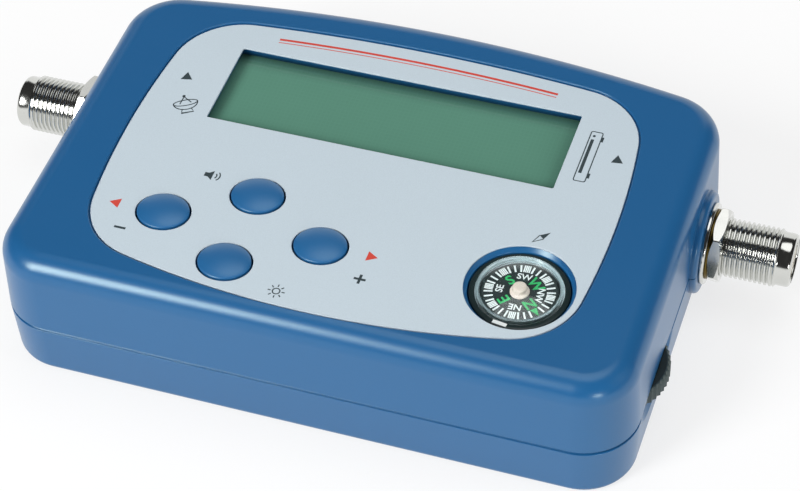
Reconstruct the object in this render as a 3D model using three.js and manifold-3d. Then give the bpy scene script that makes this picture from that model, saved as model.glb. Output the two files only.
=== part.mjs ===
// Handheld satellite signal meter: a two-part moulded case with a recessed front label, a display,
// four oval keys, a compass capsule, a thumbwheel and a threaded aerial socket at each end.
// Units are millimetres. +X runs towards the receiver socket, +Y to the bowed back wall, +Z up.
// The origin lies under the middle of the case, on the surface that the case stands on.
import * as THREE from 'three';
import { mergeVertices } from 'three/addons/utils/BufferGeometryUtils.js';
import Module from 'manifold-3d';

// Case: outline, heights and walls
const caseLength = 103.5;
const caseDepth = 71.4;
const caseHeight = 24;
const seamHeight = 10.1;
const backBowRise = 5.35;
const frontCornerRadius = 8.9;
const backCornerRadius = 9.8;
const topFilletRadius = 3.8;
const baseFilletRadius = 1.3;
const wallDraft = 0.35;
const wall = 1.9;
const baseWall = 2;
const seamGap = 0.15;
const seamGroove = 0.35;
const lipThickness = 0.85;
const lipHeight = 1.2;
const lipClearance = 0.2;
const overrun = 1;
const seatGap = 0.15;
const glueGap = 0.05;

// Label and the things that show through it, as places on the top face
const labelEndMargin = 10.65;
const labelFrontMargin = 3.7;
const labelBackMargin = 7.25;
const labelFrontRise = 6.17;
const labelBackRise = 2.83;
const labelSideRise = 3.185;
const labelCornerRadius = 12;
const labelRecess = 0.5;
const labelThickness = 0.3;
const labelClearance = 0.3;
const windowLength = 58.4;
const windowDepth = 17.1;
const windowBackMargin = 7.6;
const windowMargin = 0.15;

// Display stack under the window, from the glass down to the board
const glassThickness = 1.1;
const glassBorder = 2.6;
const contactLedge = 1.5;
const backlightThickness = 2.1;
const displayFrameWall = 1;
const displayRib = 0.9;
const displayRibDepth = 2;
const stripMargin = 0.15;

// Keys: a diamond of four domed oval caps, each over a small switch, with radii given along X
const keyRadius = 4.22;
const keyFrontMargin = 2.79;
const keySpreadX = 13.08;
const keySpreadY = 7.3;
const keyRise = 0.9;
const keyStraight = 0.15;
const keyClearance = 0.3;
const keyFlangeRadius = 5.2;
const keyFlangeThickness = 0.8;
const keyStop = 0.3;
const keyTravel = 0.4;
const keyStemRadius = 2.2;
const keyShell = 1;
const keyCollarWall = 0.9;
const keyCollarDepth = 2.2;
const switchSize = 6;
const plungerRadius = 1.7;
const plungerClearance = 0.25;
const plungerEngagement = 0.9;

// Compass capsule in its well
const compassSideMargin = 3.17;
const compassFrontMargin = 6.41;
const capsuleRadius = 7.85;
const capsuleHeight = 4.2;
const capsuleDrop = 0.9;
const capsuleFloor = 0.9;
const capsuleRim = 1;
const lensLedge = 0.7;
const lensSeatDepth = 0.6;
const lensClearance = 0.15;
const lensRimHeight = 1.1;
const lensRise = 0.95;
const lensThickness = 0.4;
const wellClearance = 0.15;
const wellBevel = 0.62;
const wellFloor = 0.9;
const wellWall = 1.1;
const cardRadius = 5.9;
const cardDrop = 1.3;
const cardThickness = 0.4;
const hubRadius = 1.2;
const hubFlare = 0.4;
const pivotRadius = 0.35;
const pivotClearance = 0.15;
const magnetLength = 8;
const magnetWidth = 2.6;
const magnetThickness = 1;

// Threaded sockets, one on each end wall, with their axis on the seam
const bossRadius = 8.45;
const bossHeight = 1.05;
const bossEdge = 0.9;
const threadRadius = 4.76;
const socketLength = 15.2;
const noseRadius = 4.35;
const noseLength = 2.2;
const noseEdge = 0.8;
const socketBoreRadius = 3.3;
const socketClearance = 0.2;
const flangeRadius = 6.3;
const flangeThickness = 1.9;
const washerRadius = 6.7;
const washerThickness = 0.7;
const lockWasherRadius = 5.75;
const lockWasherThickness = 0.25;
const stackGap = 0.05;
const boreGap = 0.1;
const nutAcrossFlats = 11.4;
const nutThickness = 1.85;
const nutChamfer = 0.88;
const nutTurn = THREE.MathUtils.degToRad(34);
const entryRadius = 1.1;
const entryDepth = 0.8;
const contactRadius = 0.95;
const contactBoreRadius = 0.5;
const contactDepth = 5;
const contactTail = 3;
const insulatorSet = 0.4;

// Thumbwheel at the seam of the right wall, on the rotor of a potentiometer
const wheelRadius = 8.6;
const wheelThickness = 3;
const wheelProud = 1.65;
const wheelFrontMargin = 11.5;
const wheelGap = 0.3;
const wheelRunning = 0.5;
const toothDepth = 0.35;
const webDepth = 0.6;
const webInner = 3.3;
const webOuter = 6.9;
const scoopHalfLength = 9.8;
const scoopHalfHeight = 5.6;
const upperScoopDepth = 0.4;
const lowerScoopDepth = 1.7;
const scoopForward = 1;
const rotorCollarRadius = 3;
const rotorCollarHeight = 1.3;
const rotorShaftRadius = 1.5;
const rotorKey = 2.2;
const rotorKeyLength = 1.5;
const rotorClearance = 0.2;
const potSize = 9.5;
const wheelScrewRadius = 0.6;
const wheelScrewHeadRadius = 1.8;
const wheelScrewHead = 0.7;

// Board, tuner shield and the larger components
const boardThickness = 1.6;
const boardClearance = 0.6;
const shieldDepth = 17.6;
const shieldSheet = 0.5;
const shieldFloorGap = 1.8;
const shieldPostGap = 0.8;
const shieldLidSkirt = 1.6;
const tunerChipSize = 8;
const chipThickness = 1.2;
const controllerSize = 12;
const crystalLength = 10;
const crystalWidth = 4.2;
const crystalHeight = 3.4;
const buzzerRadius = 6;
const buzzerHeight = 6.5;
const buzzerHoleRadius = 1;
const capacitorRadius = 3.1;
const capacitorHeight = 6.8;
const capacitorGroove = 0.3;
const componentGap = 3;

// Fasteners and their posts
const screwHeadRadius = 2.7;
const screwHead = 1.9;
const screwSink = 0.95;
const screwShankRadius = 1.3;
const screwClearance = 0.2;
const screwTipMargin = 2.45;
const lowerPostRadius = 4;
const upperPostRadius = 3.2;
const postEdge = 0.2;
const boardPostRadius = 2.4;
const boardScrewEndMargin = 9.25;
const boardScrewGap = 7;
const boardScrewRadius = 0.95;
const boardScrewHeadRadius = 1.9;
const boardScrewHead = 1.2;
const boardScrewBite = 3;
const ribThickness = 1;
const ribHeight = 1.1;
const ribBackGap = 24.5;
const ribFrontGap = 6.7;

// How finely curves are divided
const cornerSteps = 5;
const bowSteps = 8;
const filletSteps = 4;
const roundSteps = 24;
const keySteps = 20;
const smallSteps = 10;
const domeSteps = 4;
const toothCount = 52;
const ribCount = 3;

// Proportions
const keyPlaceShare = -0.3618;
const keyOvalShare = 0.88;
const capDomeShare = 0.8;
const innerFilletShare = 0.5;
const washerEdgeShare = 0.25;
const backlightDepthShare = 0.84;
const boreShare = 0.6;
const chamferRiseShare = 0.58;

const wasm = await Module();
wasm.setup();

// Radius of a bowed side from half its length and its rise
function bowRadius(halfLength, rise) {
  return (halfLength ** 2 + rise ** 2) / (2 * rise);
}

// Places on the top face that follow from the values above
const backBowRadius = bowRadius(caseLength / 2, backBowRise);
const labelHalfLength = caseLength / 2 - labelEndMargin;
const labelFront = labelFrontMargin - caseDepth / 2;
const labelBack = caseDepth / 2 - labelBackMargin;
const labelFrontBow = bowRadius(labelHalfLength, labelFrontRise);
const labelBackBow = bowRadius(labelHalfLength, labelBackRise);
const labelSideBow = bowRadius((labelBack - labelFront) / 2, labelSideRise);
const windowY = labelBack - windowBackMargin - windowDepth / 2;
const keyCentreX = labelHalfLength * keyPlaceShare;
const keyCentreY = labelFront + keyFrontMargin + keyRadius * keyOvalShare + keySpreadY;
const compassX = labelHalfLength - compassSideMargin - capsuleRadius;
const compassY = labelFront + compassFrontMargin + capsuleRadius;

// Heights and inner places that follow from the values above
const ceiling = caseHeight - wall;
const labelTop = caseHeight - labelRecess + labelThickness;
const postPlaces = postCentres();
const backPostY = Math.max(...postPlaces.map(([, y]) => y));
const socketY = backPostY - lowerPostRadius - shieldPostGap - shieldDepth / 2;
const socketZ = seamHeight;
const socketReach = caseLength / 2 + socketLength;
const glassTop = ceiling - seatGap;
const backGlassTop = glassTop - glassThickness - glueGap;
const backlightTop = backGlassTop - glassThickness - glueGap;
const boardTop = backlightTop - backlightThickness - seatGap;
const boardBottom = boardTop - boardThickness;
const wheelX = caseLength / 2 + wheelProud - wheelRadius;
const wheelY = wheelFrontMargin + wheelRadius - caseDepth / 2;
const wheelTop = seamHeight - wheelGap;
const wheelBottom = wheelTop - wheelThickness;
const bossFace = caseLength / 2 + bossHeight;
const innerFace = caseLength / 2 - wall - wallDraft;
const flangeStart = innerFace - seatGap - flangeThickness;
const shieldHalfLength = flangeStart - seatGap;
const boardScrewX = caseLength / 2 - boardScrewEndMargin;
const boardScrewY = socketY - shieldDepth / 2 - boardScrewGap;
const pilotTop = ceiling - screwTipMargin;

// Manifold solid of a closed geometry
function solid(geometry) {
  const bare = geometry.clone();
  bare.deleteAttribute('normal');
  bare.deleteAttribute('uv');
  const merged = mergeVertices(bare);
  const index = merged.index.array;
  const kept = [];
  for (let i = 0; i < index.length; i += 3) {
    const [a, b, c] = [index[i], index[i + 1], index[i + 2]];
    if (a !== b && b !== c && c !== a) kept.push(a, b, c);
  }
  const mesh = new wasm.Mesh({
    numProp: 3,
    vertProperties: Float32Array.from(merged.attributes.position.array),
    triVerts: Uint32Array.from(kept),
  });
  return new wasm.Manifold(mesh);
}

// Flat-shaded geometry of a Manifold solid
function shell(manifold) {
  const mesh = manifold.getMesh();
  const geometry = new THREE.BufferGeometry();
  const positions = new Float32Array(mesh.numVert * 3);
  for (let i = 0; i < mesh.numVert; i += 1) {
    for (let k = 0; k < 3; k += 1) positions[i * 3 + k] = mesh.vertProperties[i * mesh.numProp + k];
  }
  geometry.setAttribute('position', new THREE.BufferAttribute(positions, 3));
  geometry.setIndex(new THREE.BufferAttribute(Uint32Array.from(mesh.triVerts), 1));
  geometry.computeVertexNormals();
  return geometry;
}

// Points along an arc, from one angle to the other
function arc(centreX, centreY, radius, from, to, steps) {
  const points = [];
  for (let i = 0; i <= steps; i += 1) {
    const angle = from + ((to - from) * i) / steps;
    points.push(new THREE.Vector2(centreX + radius * Math.cos(angle), centreY + radius * Math.sin(angle)));
  }
  return points;
}

// Case outline moved inwards: straight front and sides, a bowed back, four round corners
function caseOutline(inset) {
  const half = caseLength / 2;
  const front = -caseDepth / 2;
  const frontX = half - frontCornerRadius;
  const frontY = front + frontCornerRadius;
  const bowY = caseDepth / 2 - backBowRadius;
  const backX = half - backCornerRadius;
  const backY = bowY + Math.sqrt((backBowRadius - backCornerRadius) ** 2 - backX ** 2);
  const turn = Math.atan2(backY - bowY, backX);
  const frontRadius = frontCornerRadius - inset;
  const backRadius = backCornerRadius - inset;
  const bow = arc(0, bowY, backBowRadius - inset, turn, Math.PI - turn, bowSteps).slice(1, -1);
  return [
    ...arc(-frontX, frontY, frontRadius, Math.PI, 1.5 * Math.PI, cornerSteps),
    ...arc(frontX, frontY, frontRadius, 1.5 * Math.PI, 2 * Math.PI, cornerSteps),
    ...arc(backX, backY, backRadius, 0, turn, cornerSteps),
    ...bow,
    ...arc(-backX, backY, backRadius, Math.PI - turn, Math.PI, cornerSteps),
  ];
}

// Centre of a corner arc that touches two bowed sides from the inside
function cornerCentre(side, end, radius, outwardX, outwardY) {
  const sideReach = side.radius - radius;
  const endReach = end.radius - radius;
  const span = end.centre.clone().sub(side.centre);
  const along = (sideReach ** 2 - endReach ** 2 + span.lengthSq()) / (2 * span.length());
  const away = Math.sqrt(sideReach ** 2 - along ** 2);
  const forward = span.clone().normalize();
  const across = new THREE.Vector2(-forward.y, forward.x);
  const foot = side.centre.clone().addScaledVector(forward, along);
  const first = foot.clone().addScaledVector(across, away);
  const second = foot.clone().addScaledVector(across, -away);
  const outward = new THREE.Vector2(outwardX, outwardY);
  return first.dot(outward) > second.dot(outward) ? first : second;
}

// Label outline: four bowed sides joined by round corners, moved inwards
function labelOutline(inset) {
  const middleY = (labelFront + labelBack) / 2;
  const back = { centre: new THREE.Vector2(0, labelBack - labelBackBow), radius: labelBackBow };
  const front = { centre: new THREE.Vector2(0, labelFront + labelFrontBow), radius: labelFrontBow };
  const sideX = labelHalfLength - labelSideBow;
  const right = { centre: new THREE.Vector2(sideX, middleY), radius: labelSideBow };
  const left = { centre: new THREE.Vector2(-sideX, middleY), radius: labelSideBow };
  const angleOf = (from, to) => Math.atan2(to.y - from.y, to.x - from.x);
  const frontRight = cornerCentre(right, front, labelCornerRadius, 1, -1);
  const backRight = cornerCentre(right, back, labelCornerRadius, 1, 1);
  const corner = labelCornerRadius - inset;
  const rightFrom = angleOf(right.centre, frontRight);
  const rightTo = angleOf(right.centre, backRight);
  const backFrom = angleOf(back.centre, backRight);
  const frontTo = angleOf(front.centre, frontRight);
  const mirrored = (angle) => Math.PI - angle;
  const side = (circle, from, to) => (
    arc(circle.centre.x, circle.centre.y, circle.radius - inset, from, to, cornerSteps).slice(1, -1)
  );
  const bow = (circle, from, to) => (
    arc(circle.centre.x, circle.centre.y, circle.radius - inset, from, to, bowSteps).slice(1, -1)
  );
  return [
    ...arc(frontRight.x, frontRight.y, corner, frontTo, rightFrom, cornerSteps),
    ...side(right, rightFrom, rightTo),
    ...arc(backRight.x, backRight.y, corner, rightTo, backFrom, cornerSteps),
    ...bow(back, backFrom, mirrored(backFrom)),
    ...arc(-backRight.x, backRight.y, corner, mirrored(backFrom), mirrored(rightTo), cornerSteps),
    ...side(left, mirrored(rightTo), mirrored(rightFrom)),
    ...arc(-frontRight.x, frontRight.y, corner, mirrored(rightFrom), mirrored(frontTo), cornerSteps),
    ...bow(front, mirrored(frontTo) - 2 * Math.PI, frontTo),
  ];
}

// Solid skin over a stack of outlines that all have the same number of points
function loft(levels) {
  const count = levels[0].outline.length;
  const positions = [];
  const index = [];
  for (const { outline, z } of levels) {
    for (const point of outline) positions.push(point.x, point.y, z);
  }
  for (let level = 0; level + 1 < levels.length; level += 1) {
    for (let i = 0; i < count; i += 1) {
      const a = level * count + i;
      const b = level * count + ((i + 1) % count);
      index.push(a, b, b + count, a, b + count, a + count);
    }
  }
  const top = (levels.length - 1) * count;
  for (const [a, b, c] of THREE.ShapeUtils.triangulateShape(levels[0].outline, [])) {
    index.push(c, b, a);
  }
  for (const [a, b, c] of THREE.ShapeUtils.triangulateShape(levels[levels.length - 1].outline, [])) {
    index.push(top + a, top + b, top + c);
  }
  const geometry = new THREE.BufferGeometry();
  geometry.setAttribute('position', new THREE.Float32BufferAttribute(positions, 3));
  geometry.setIndex(index);
  return geometry;
}

// Straight prism over an outline between two heights
function prism(outline, from, to) {
  return loft([{ outline, z: from }, { outline, z: to }]);
}

// Block by its middle on the top face and its two heights
function block(length, depth, from, to, x = 0, y = 0) {
  return new THREE.BoxGeometry(length, depth, to - from).translate(x, y, (from + to) / 2);
}

// Upright round bar between two heights
function bar(radius, from, to, x = 0, y = 0, steps = smallSteps) {
  const geometry = new THREE.CylinderGeometry(radius, radius, to - from, steps);
  return geometry.rotateX(Math.PI / 2).translate(x, y, (from + to) / 2);
}

// Revolved profile about the upright axis, given as radius and height pairs, bottom first
function turned(profile, steps = roundSteps) {
  const points = profile.map(([radius, height]) => new THREE.Vector2(radius, height));
  return new THREE.LatheGeometry(points, steps).rotateX(Math.PI / 2);
}

// Ring of plain rectangular section
function ring(outer, inner, from, to, steps = keySteps) {
  return turned([[inner, from], [outer, from], [outer, to], [inner, to], [inner, from]], steps);
}

// Geometry about the upright axis narrowed to the oval of the keys and moved to a key's place
function atKey(geometry, x, y) {
  return geometry.scale(1, keyOvalShare, 1).translate(x, y, 0);
}

// The same geometry laid from the upright axis onto a socket's axis, facing out along +X or -X
function alongSocket(geometry, side) {
  return geometry.rotateY((side * Math.PI) / 2).translate(0, socketY, socketZ);
}

const group = new THREE.Group();
group.name = 'signal_meter';

function material(color, roughness, metalness) {
  return new THREE.MeshStandardMaterial({ color, roughness, metalness });
}

function addPart(name, geometry, look) {
  const mesh = new THREE.Mesh(geometry, look);
  mesh.name = name;
  group.add(mesh);
  return mesh;
}

const satinBlue = () => material(0x2d6298, 0.42, 0);
const keyBlue = () => material(0x2a629b, 0.35, 0);
const labelSilver = () => material(0xc3d0d8, 0.5, 0.2);
const nickel = () => material(0xc9ccc8, 0.16, 1);
const brass = () => material(0x9a7c45, 0.35, 1);
const steel = () => material(0x9b9fa3, 0.32, 1);
const tinned = () => material(0xb9bcbb, 0.38, 1);
const blackPlastic = () => material(0x15181a, 0.5, 0);
const whitePlastic = () => material(0xe7e4da, 0.5, 0);
const clearPlastic = () => material(0xdfe9ec, 0.08, 0);
const displayGlass = () => material(0x5a8f7c, 0.12, 0);
const boardGreen = () => material(0x23593c, 0.5, 0);
const rubberGrey = () => material(0x6d6f73, 0.8, 0);

const keyPlaces = {
  attenuate_down: [keyCentreX - keySpreadX, keyCentreY],
  attenuate_up: [keyCentreX + keySpreadX, keyCentreY],
  sounder: [keyCentreX, keyCentreY + keySpreadY],
  light: [keyCentreX, keyCentreY - keySpreadY],
};

// Screw posts stand in the corners, as close to the inner corner as the lip leaves room
function postCentres() {
  const half = caseLength / 2;
  const bowY = caseDepth / 2 - backBowRadius;
  const backX = half - backCornerRadius;
  const backY = bowY + Math.sqrt((backBowRadius - backCornerRadius) ** 2 - backX ** 2);
  const frontShift = (frontCornerRadius - wall - postEdge - upperPostRadius) * Math.SQRT1_2;
  const backShift = (backCornerRadius - wall - postEdge - upperPostRadius) * Math.SQRT1_2;
  const frontX = half - frontCornerRadius + frontShift;
  const frontY = frontCornerRadius - caseDepth / 2 - frontShift;
  return [
    [-frontX, frontY],
    [frontX, frontY],
    [backX + backShift, backY + backShift],
    [-backX - backShift, backY + backShift],
  ];
}

// Outer skin of the upper cover, from the seam up over the rolled top edge
function upperSkin() {
  const levels = [{ outline: caseOutline(0), z: seamHeight }];
  for (let i = 0; i <= filletSteps; i += 1) {
    const angle = (i / filletSteps) * (Math.PI / 2);
    const inset = wallDraft + topFilletRadius * (1 - Math.cos(angle));
    const z = caseHeight - topFilletRadius * (1 - Math.sin(angle));
    levels.push({ outline: caseOutline(inset), z });
  }
  return loft(levels);
}

// Hollow of the upper cover, with the rebate that takes the lip of the lower cover
function upperHollow() {
  const fillet = topFilletRadius * innerFilletShare;
  const levels = [{ outline: caseOutline(wall), z: seamHeight - overrun }];
  for (let i = 0; i <= filletSteps; i += 1) {
    const angle = (i / filletSteps) * (Math.PI / 2);
    const inset = wall + wallDraft + fillet * (1 - Math.cos(angle));
    levels.push({ outline: caseOutline(inset), z: ceiling - fillet * (1 - Math.sin(angle)) });
  }
  const rebate = caseOutline(wall - lipThickness - lipClearance);
  const rebateTop = seamHeight + lipHeight + lipClearance;
  return solid(loft(levels)).add(solid(prism(rebate, seamHeight - overrun, rebateTop)));
}

// Round boss on an end wall, full circle, rounded at its outer edge and run into the wall
function socketBoss(side) {
  const root = innerFace + wallDraft + lipThickness + lipClearance;
  const profile = [[0, root], [bossRadius, root]];
  for (let i = 0; i <= filletSteps; i += 1) {
    const angle = (i / filletSteps) * (Math.PI / 2);
    const radius = bossRadius - bossEdge * (1 - Math.cos(angle));
    profile.push([radius, bossFace - bossEdge * (1 - Math.sin(angle))]);
  }
  profile.push([0, bossFace]);
  return solid(alongSocket(turned(profile), side));
}

function socketHole(side) {
  const radius = threadRadius + socketClearance;
  const hole = bar(radius, innerFace - overrun, bossFace + overrun, 0, 0, keySteps);
  return solid(alongSocket(hole, side));
}

// Finger hollow round the thumbwheel, a lens let into the right wall on the seam; it is shallow in
// the upper cover and deeper in the lower one
function fingerHollow(depth) {
  const radius = bowRadius(scoopHalfLength, depth);
  const widest = Math.asin(scoopHalfLength / radius);
  const profile = [];
  for (let i = 0; i <= domeSteps; i += 1) {
    const angle = (i / domeSteps) * widest;
    profile.push([radius * Math.sin(angle), radius - depth - radius * Math.cos(angle)]);
  }
  profile.push([scoopHalfLength, overrun], [0, overrun]);
  const lens = turned(profile).rotateY(Math.PI / 2);
  lens.scale(1, 1, scoopHalfHeight / scoopHalfLength);
  return solid(lens.translate(caseLength / 2, wheelY - scoopForward, seamHeight));
}

// Room for the wheel, coaxial with it
function wheelRoom() {
  const top = seamHeight + lipHeight + overrun;
  return solid(bar(wheelRadius + wheelRunning, wheelBottom - wheelGap, top, wheelX, wheelY, roundSteps));
}

function displayRibs() {
  const length = displayOuterLength() + 2 * (displayRib + seatGap);
  const depth = displayOuterDepth() + 2 * (displayRib + seatGap);
  const foot = ceiling - displayRibDepth;
  const outer = block(length, depth, foot, ceiling + overrun / 2, 0, windowY);
  const inner = block(length - 2 * displayRib, depth - 2 * displayRib, foot - overrun, ceiling + overrun,
    0, windowY);
  return solid(outer).subtract(solid(inner));
}

function displayOuterLength() {
  return windowLength + 2 * (glassBorder + seatGap + displayFrameWall);
}

function displayOuterDepth() {
  return windowDepth + 2 * (glassBorder + seatGap + displayFrameWall);
}

// Compass well hanging from the top wall, with a bevelled mouth
function compassWell() {
  const floor = labelTop - capsuleDrop - capsuleHeight - glueGap;
  const bore = capsuleRadius + wellClearance;
  const top = ceiling + overrun / 2;
  const cup = bar(bore + wellWall, floor - wellFloor, top, compassX, compassY, roundSteps);
  const mouth = caseHeight - labelRecess;
  const cut = turned([
    [0, floor],
    [bore, floor],
    [bore, mouth - wellBevel],
    [bore + wellBevel, mouth],
    [bore + wellBevel, mouth + overrun],
    [0, mouth + overrun],
  ]);
  return { cup: solid(cup), cut: solid(cut.translate(compassX, compassY, 0)) };
}

function upperCover() {
  let cover = solid(upperSkin()).subtract(upperHollow());
  const aboveSeam = solid(block(2 * socketReach, 2 * caseDepth, seamHeight, 2 * caseHeight));
  for (const side of [-1, 1]) cover = cover.add(socketBoss(side).intersect(aboveSeam));
  for (const [x, y] of postPlaces) {
    cover = cover.add(solid(bar(upperPostRadius, seamHeight + seamGap, ceiling + overrun / 2, x, y)));
  }
  for (const side of [-1, 1]) {
    const post = bar(boardPostRadius, boardTop + seatGap, ceiling + overrun / 2);
    cover = cover.add(solid(post.translate(side * boardScrewX, boardScrewY, 0)));
  }
  cover = cover.add(displayRibs());
  const collarInner = keyFlangeRadius + keyClearance;
  for (const [x, y] of Object.values(keyPlaces)) {
    const from = ceiling - keyCollarDepth;
    const collar = ring(collarInner + keyCollarWall, collarInner, from, ceiling + overrun / 2);
    cover = cover.add(solid(atKey(collar, x, y)));
  }
  const well = compassWell();
  cover = cover.add(well.cup).subtract(well.cut);
  const recessFloor = caseHeight - labelRecess;
  cover = cover.subtract(solid(prism(labelOutline(0), recessFloor, caseHeight + overrun)));
  const opening = block(windowLength + 2 * windowMargin, windowDepth + 2 * windowMargin,
    ceiling - overrun, caseHeight, 0, windowY);
  cover = cover.subtract(solid(opening));
  for (const [x, y] of Object.values(keyPlaces)) {
    const keyHole = bar(keyRadius + keyClearance, ceiling - overrun, caseHeight, 0, 0, keySteps);
    cover = cover.subtract(solid(atKey(keyHole, x, y)));
  }
  for (const [x, y] of postPlaces) {
    cover = cover.subtract(solid(bar(screwShankRadius + seatGap, seamHeight, pilotTop, x, y)));
  }
  for (const side of [-1, 1]) {
    const pilot = bar(boardScrewRadius + seatGap, boardBottom, boardTop + boardScrewBite + seatGap,
      side * boardScrewX, boardScrewY);
    cover = cover.subtract(solid(pilot)).subtract(socketHole(side));
  }
  return cover.subtract(fingerHollow(upperScoopDepth));
}

// Outer skin of the lower cover, from the base fillet up to the groove of the seam
function lowerSkin() {
  const rim = seamHeight - seamGap;
  const levels = [];
  for (let i = 0; i <= filletSteps; i += 1) {
    const angle = (1 - i / filletSteps) * (Math.PI / 2);
    const inset = wallDraft + baseFilletRadius * (1 - Math.cos(angle));
    levels.push({ outline: caseOutline(inset), z: baseFilletRadius * (1 - Math.sin(angle)) });
  }
  levels.push({ outline: caseOutline(0), z: rim - seamGroove });
  levels.push({ outline: caseOutline(seamGroove), z: rim - seamGroove });
  levels.push({ outline: caseOutline(seamGroove), z: rim });
  return loft(levels);
}

function lowerCover() {
  const rim = seamHeight - seamGap;
  let cover = solid(lowerSkin());
  const lip = prism(caseOutline(wall - lipThickness), rim - overrun, seamHeight + lipHeight);
  cover = cover.add(solid(lip));
  const hollow = loft([
    { outline: caseOutline(wall + wallDraft), z: baseWall },
    { outline: caseOutline(wall), z: rim },
    { outline: caseOutline(wall), z: seamHeight + lipHeight + overrun },
  ]);
  cover = cover.subtract(solid(hollow));
  const belowSeam = solid(block(2 * socketReach, 2 * caseDepth, -caseHeight, rim));
  for (const side of [-1, 1]) cover = cover.add(socketBoss(side).intersect(belowSeam));
  const ribFront = wall + wallDraft + ribFrontGap - caseDepth / 2;
  const ribBack = caseDepth / 2 - wall - wallDraft - ribBackGap;
  for (let i = 0; i < ribCount; i += 1) {
    const x = ((i + 1) / (ribCount + 1) - 1 / 2) * caseLength;
    const rib = block(ribThickness, ribBack - ribFront, baseWall - ribThickness / 2, baseWall + ribHeight);
    cover = cover.add(solid(rib.translate(x, (ribFront + ribBack) / 2, 0)));
  }
  for (const [x, y] of postPlaces) {
    cover = cover.add(solid(bar(lowerPostRadius, baseWall / 2, rim - seamGap, x, y)));
  }
  const inside = solid(prism(caseOutline(wallDraft), 0, seamHeight + lipHeight));
  cover = cover.intersect(inside.add(solid(lowerSkin())).add(socketBoss(-1)).add(socketBoss(1)));
  for (const [x, y] of postPlaces) {
    const sink = bar(screwHeadRadius + screwClearance, -overrun, screwSink + screwHead, x, y);
    const hole = bar(screwShankRadius + screwClearance, 0, seamHeight + overrun, x, y);
    cover = cover.subtract(solid(sink)).subtract(solid(hole));
  }
  for (const side of [-1, 1]) cover = cover.subtract(socketHole(side));
  return cover.subtract(wheelRoom()).subtract(fingerHollow(lowerScoopDepth));
}

// Thin label with its window, key holes and compass hole
function frontLabel() {
  const from = caseHeight - labelRecess + glueGap;
  const shape = new THREE.Shape(labelOutline(labelClearance));
  const pane = [[-1, -1], [-1, 1], [1, 1], [1, -1]];
  const corners = pane.map(([x, y]) => (
    new THREE.Vector2((x * windowLength) / 2, windowY + (y * windowDepth) / 2)
  ));
  shape.holes.push(new THREE.Path(corners));
  for (const [x, y] of Object.values(keyPlaces)) {
    const round = arc(0, 0, keyRadius + keyClearance, 2 * Math.PI, 0, keySteps).slice(0, -1);
    const oval = round.map((point) => new THREE.Vector2(x + point.x, y + point.y * keyOvalShare));
    shape.holes.push(new THREE.Path(oval));
  }
  const mouthRadius = capsuleRadius + wellClearance + wellBevel;
  const mouth = arc(compassX, compassY, mouthRadius, 2 * Math.PI, 0, roundSteps).slice(0, -1);
  shape.holes.push(new THREE.Path(mouth));
  const geometry = new THREE.ExtrudeGeometry(shape, { depth: labelTop - from, bevelEnabled: false });
  return geometry.translate(0, 0, from);
}

// Self-tapping screw with a pan head, its head down
function panScrew(headRadius, headHeight, shankRadius, from, to) {
  return turned([
    [0, from],
    [headRadius * capDomeShare, from],
    [headRadius, from + headHeight / 2],
    [headRadius, from + headHeight],
    [shankRadius, from + headHeight],
    [shankRadius, to - shankRadius],
    [0, to],
  ], smallSteps);
}

addPart('upper_cover', shell(upperCover()), satinBlue());
addPart('lower_cover', shell(lowerCover()), satinBlue());
addPart('front_label', frontLabel(), labelSilver());
postPlaces.forEach(([x, y], i) => {
  const tip = pilotTop - 2 * seatGap;
  const screw = panScrew(screwHeadRadius, screwHead - seatGap, screwShankRadius, screwSink, tip);
  addPart(`case_screw_${i + 1}`, screw.translate(x, y, 0), steel());
});

// Display: two glass plates, a light guide, two contact strips and a plastic frame
function addDisplay() {
  const length = windowLength + 2 * glassBorder;
  const depth = windowDepth + 2 * glassBorder;
  const backDepth = depth - 2 * contactLedge;
  const frontGlass = block(length, depth, glassTop - glassThickness, glassTop, 0, windowY);
  const backGlass = block(length, backDepth, backGlassTop - glassThickness, backGlassTop, 0, windowY);
  const backlight = block(windowLength, backDepth * backlightDepthShare, backlightTop - backlightThickness,
    backlightTop, 0, windowY);
  addPart('display_front_glass', frontGlass, displayGlass());
  addPart('display_back_glass', backGlass, displayGlass());
  addPart('display_backlight', backlight, whitePlastic());
  const frame = block(displayOuterLength(), displayOuterDepth(), boardTop + glueGap, glassTop, 0, windowY);
  const pocket = block(length + 2 * seatGap, depth + 2 * seatGap, boardTop, glassTop + overrun, 0, windowY);
  addPart('display_frame', shell(solid(frame).subtract(solid(pocket))), blackPlastic());
  const stripDepth = contactLedge - 2 * stripMargin;
  const stripY = (depth - contactLedge) / 2;
  const stripTop = glassTop - glassThickness - glueGap;
  const strips = { display_strip_front: -stripY, display_strip_back: stripY };
  for (const [name, y] of Object.entries(strips)) {
    addPart(name, block(length, stripDepth, boardTop + glueGap, stripTop, 0, windowY + y), rubberGrey());
  }
}
addDisplay();

// Domed key cap: rolled top, straight skirt, retaining flange and a stem over the switch
function keyCap() {
  const flangeTop = ceiling - keyStop;
  const underside = flangeTop - keyFlangeThickness;
  const skirtTop = labelTop + keyStraight;
  const rise = keyRise - keyStraight;
  const innerRadius = keyRadius - keyShell;
  const profile = [
    [0, underside],
    [keyStemRadius, underside],
    [keyStemRadius, labelTop - keyShell],
    [innerRadius, labelTop - keyShell],
    [innerRadius, underside],
    [keyFlangeRadius, underside],
    [keyFlangeRadius, flangeTop],
    [keyRadius, flangeTop],
  ];
  for (let i = 0; i <= domeSteps; i += 1) {
    const angle = (i / domeSteps) * (Math.PI / 2);
    const radius = i === domeSteps ? 0 : keyRadius * Math.cos(angle) ** capDomeShare;
    profile.push([radius, skirtTop + rise * Math.sin(angle) ** capDomeShare]);
  }
  return turned(profile, keySteps);
}

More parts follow.
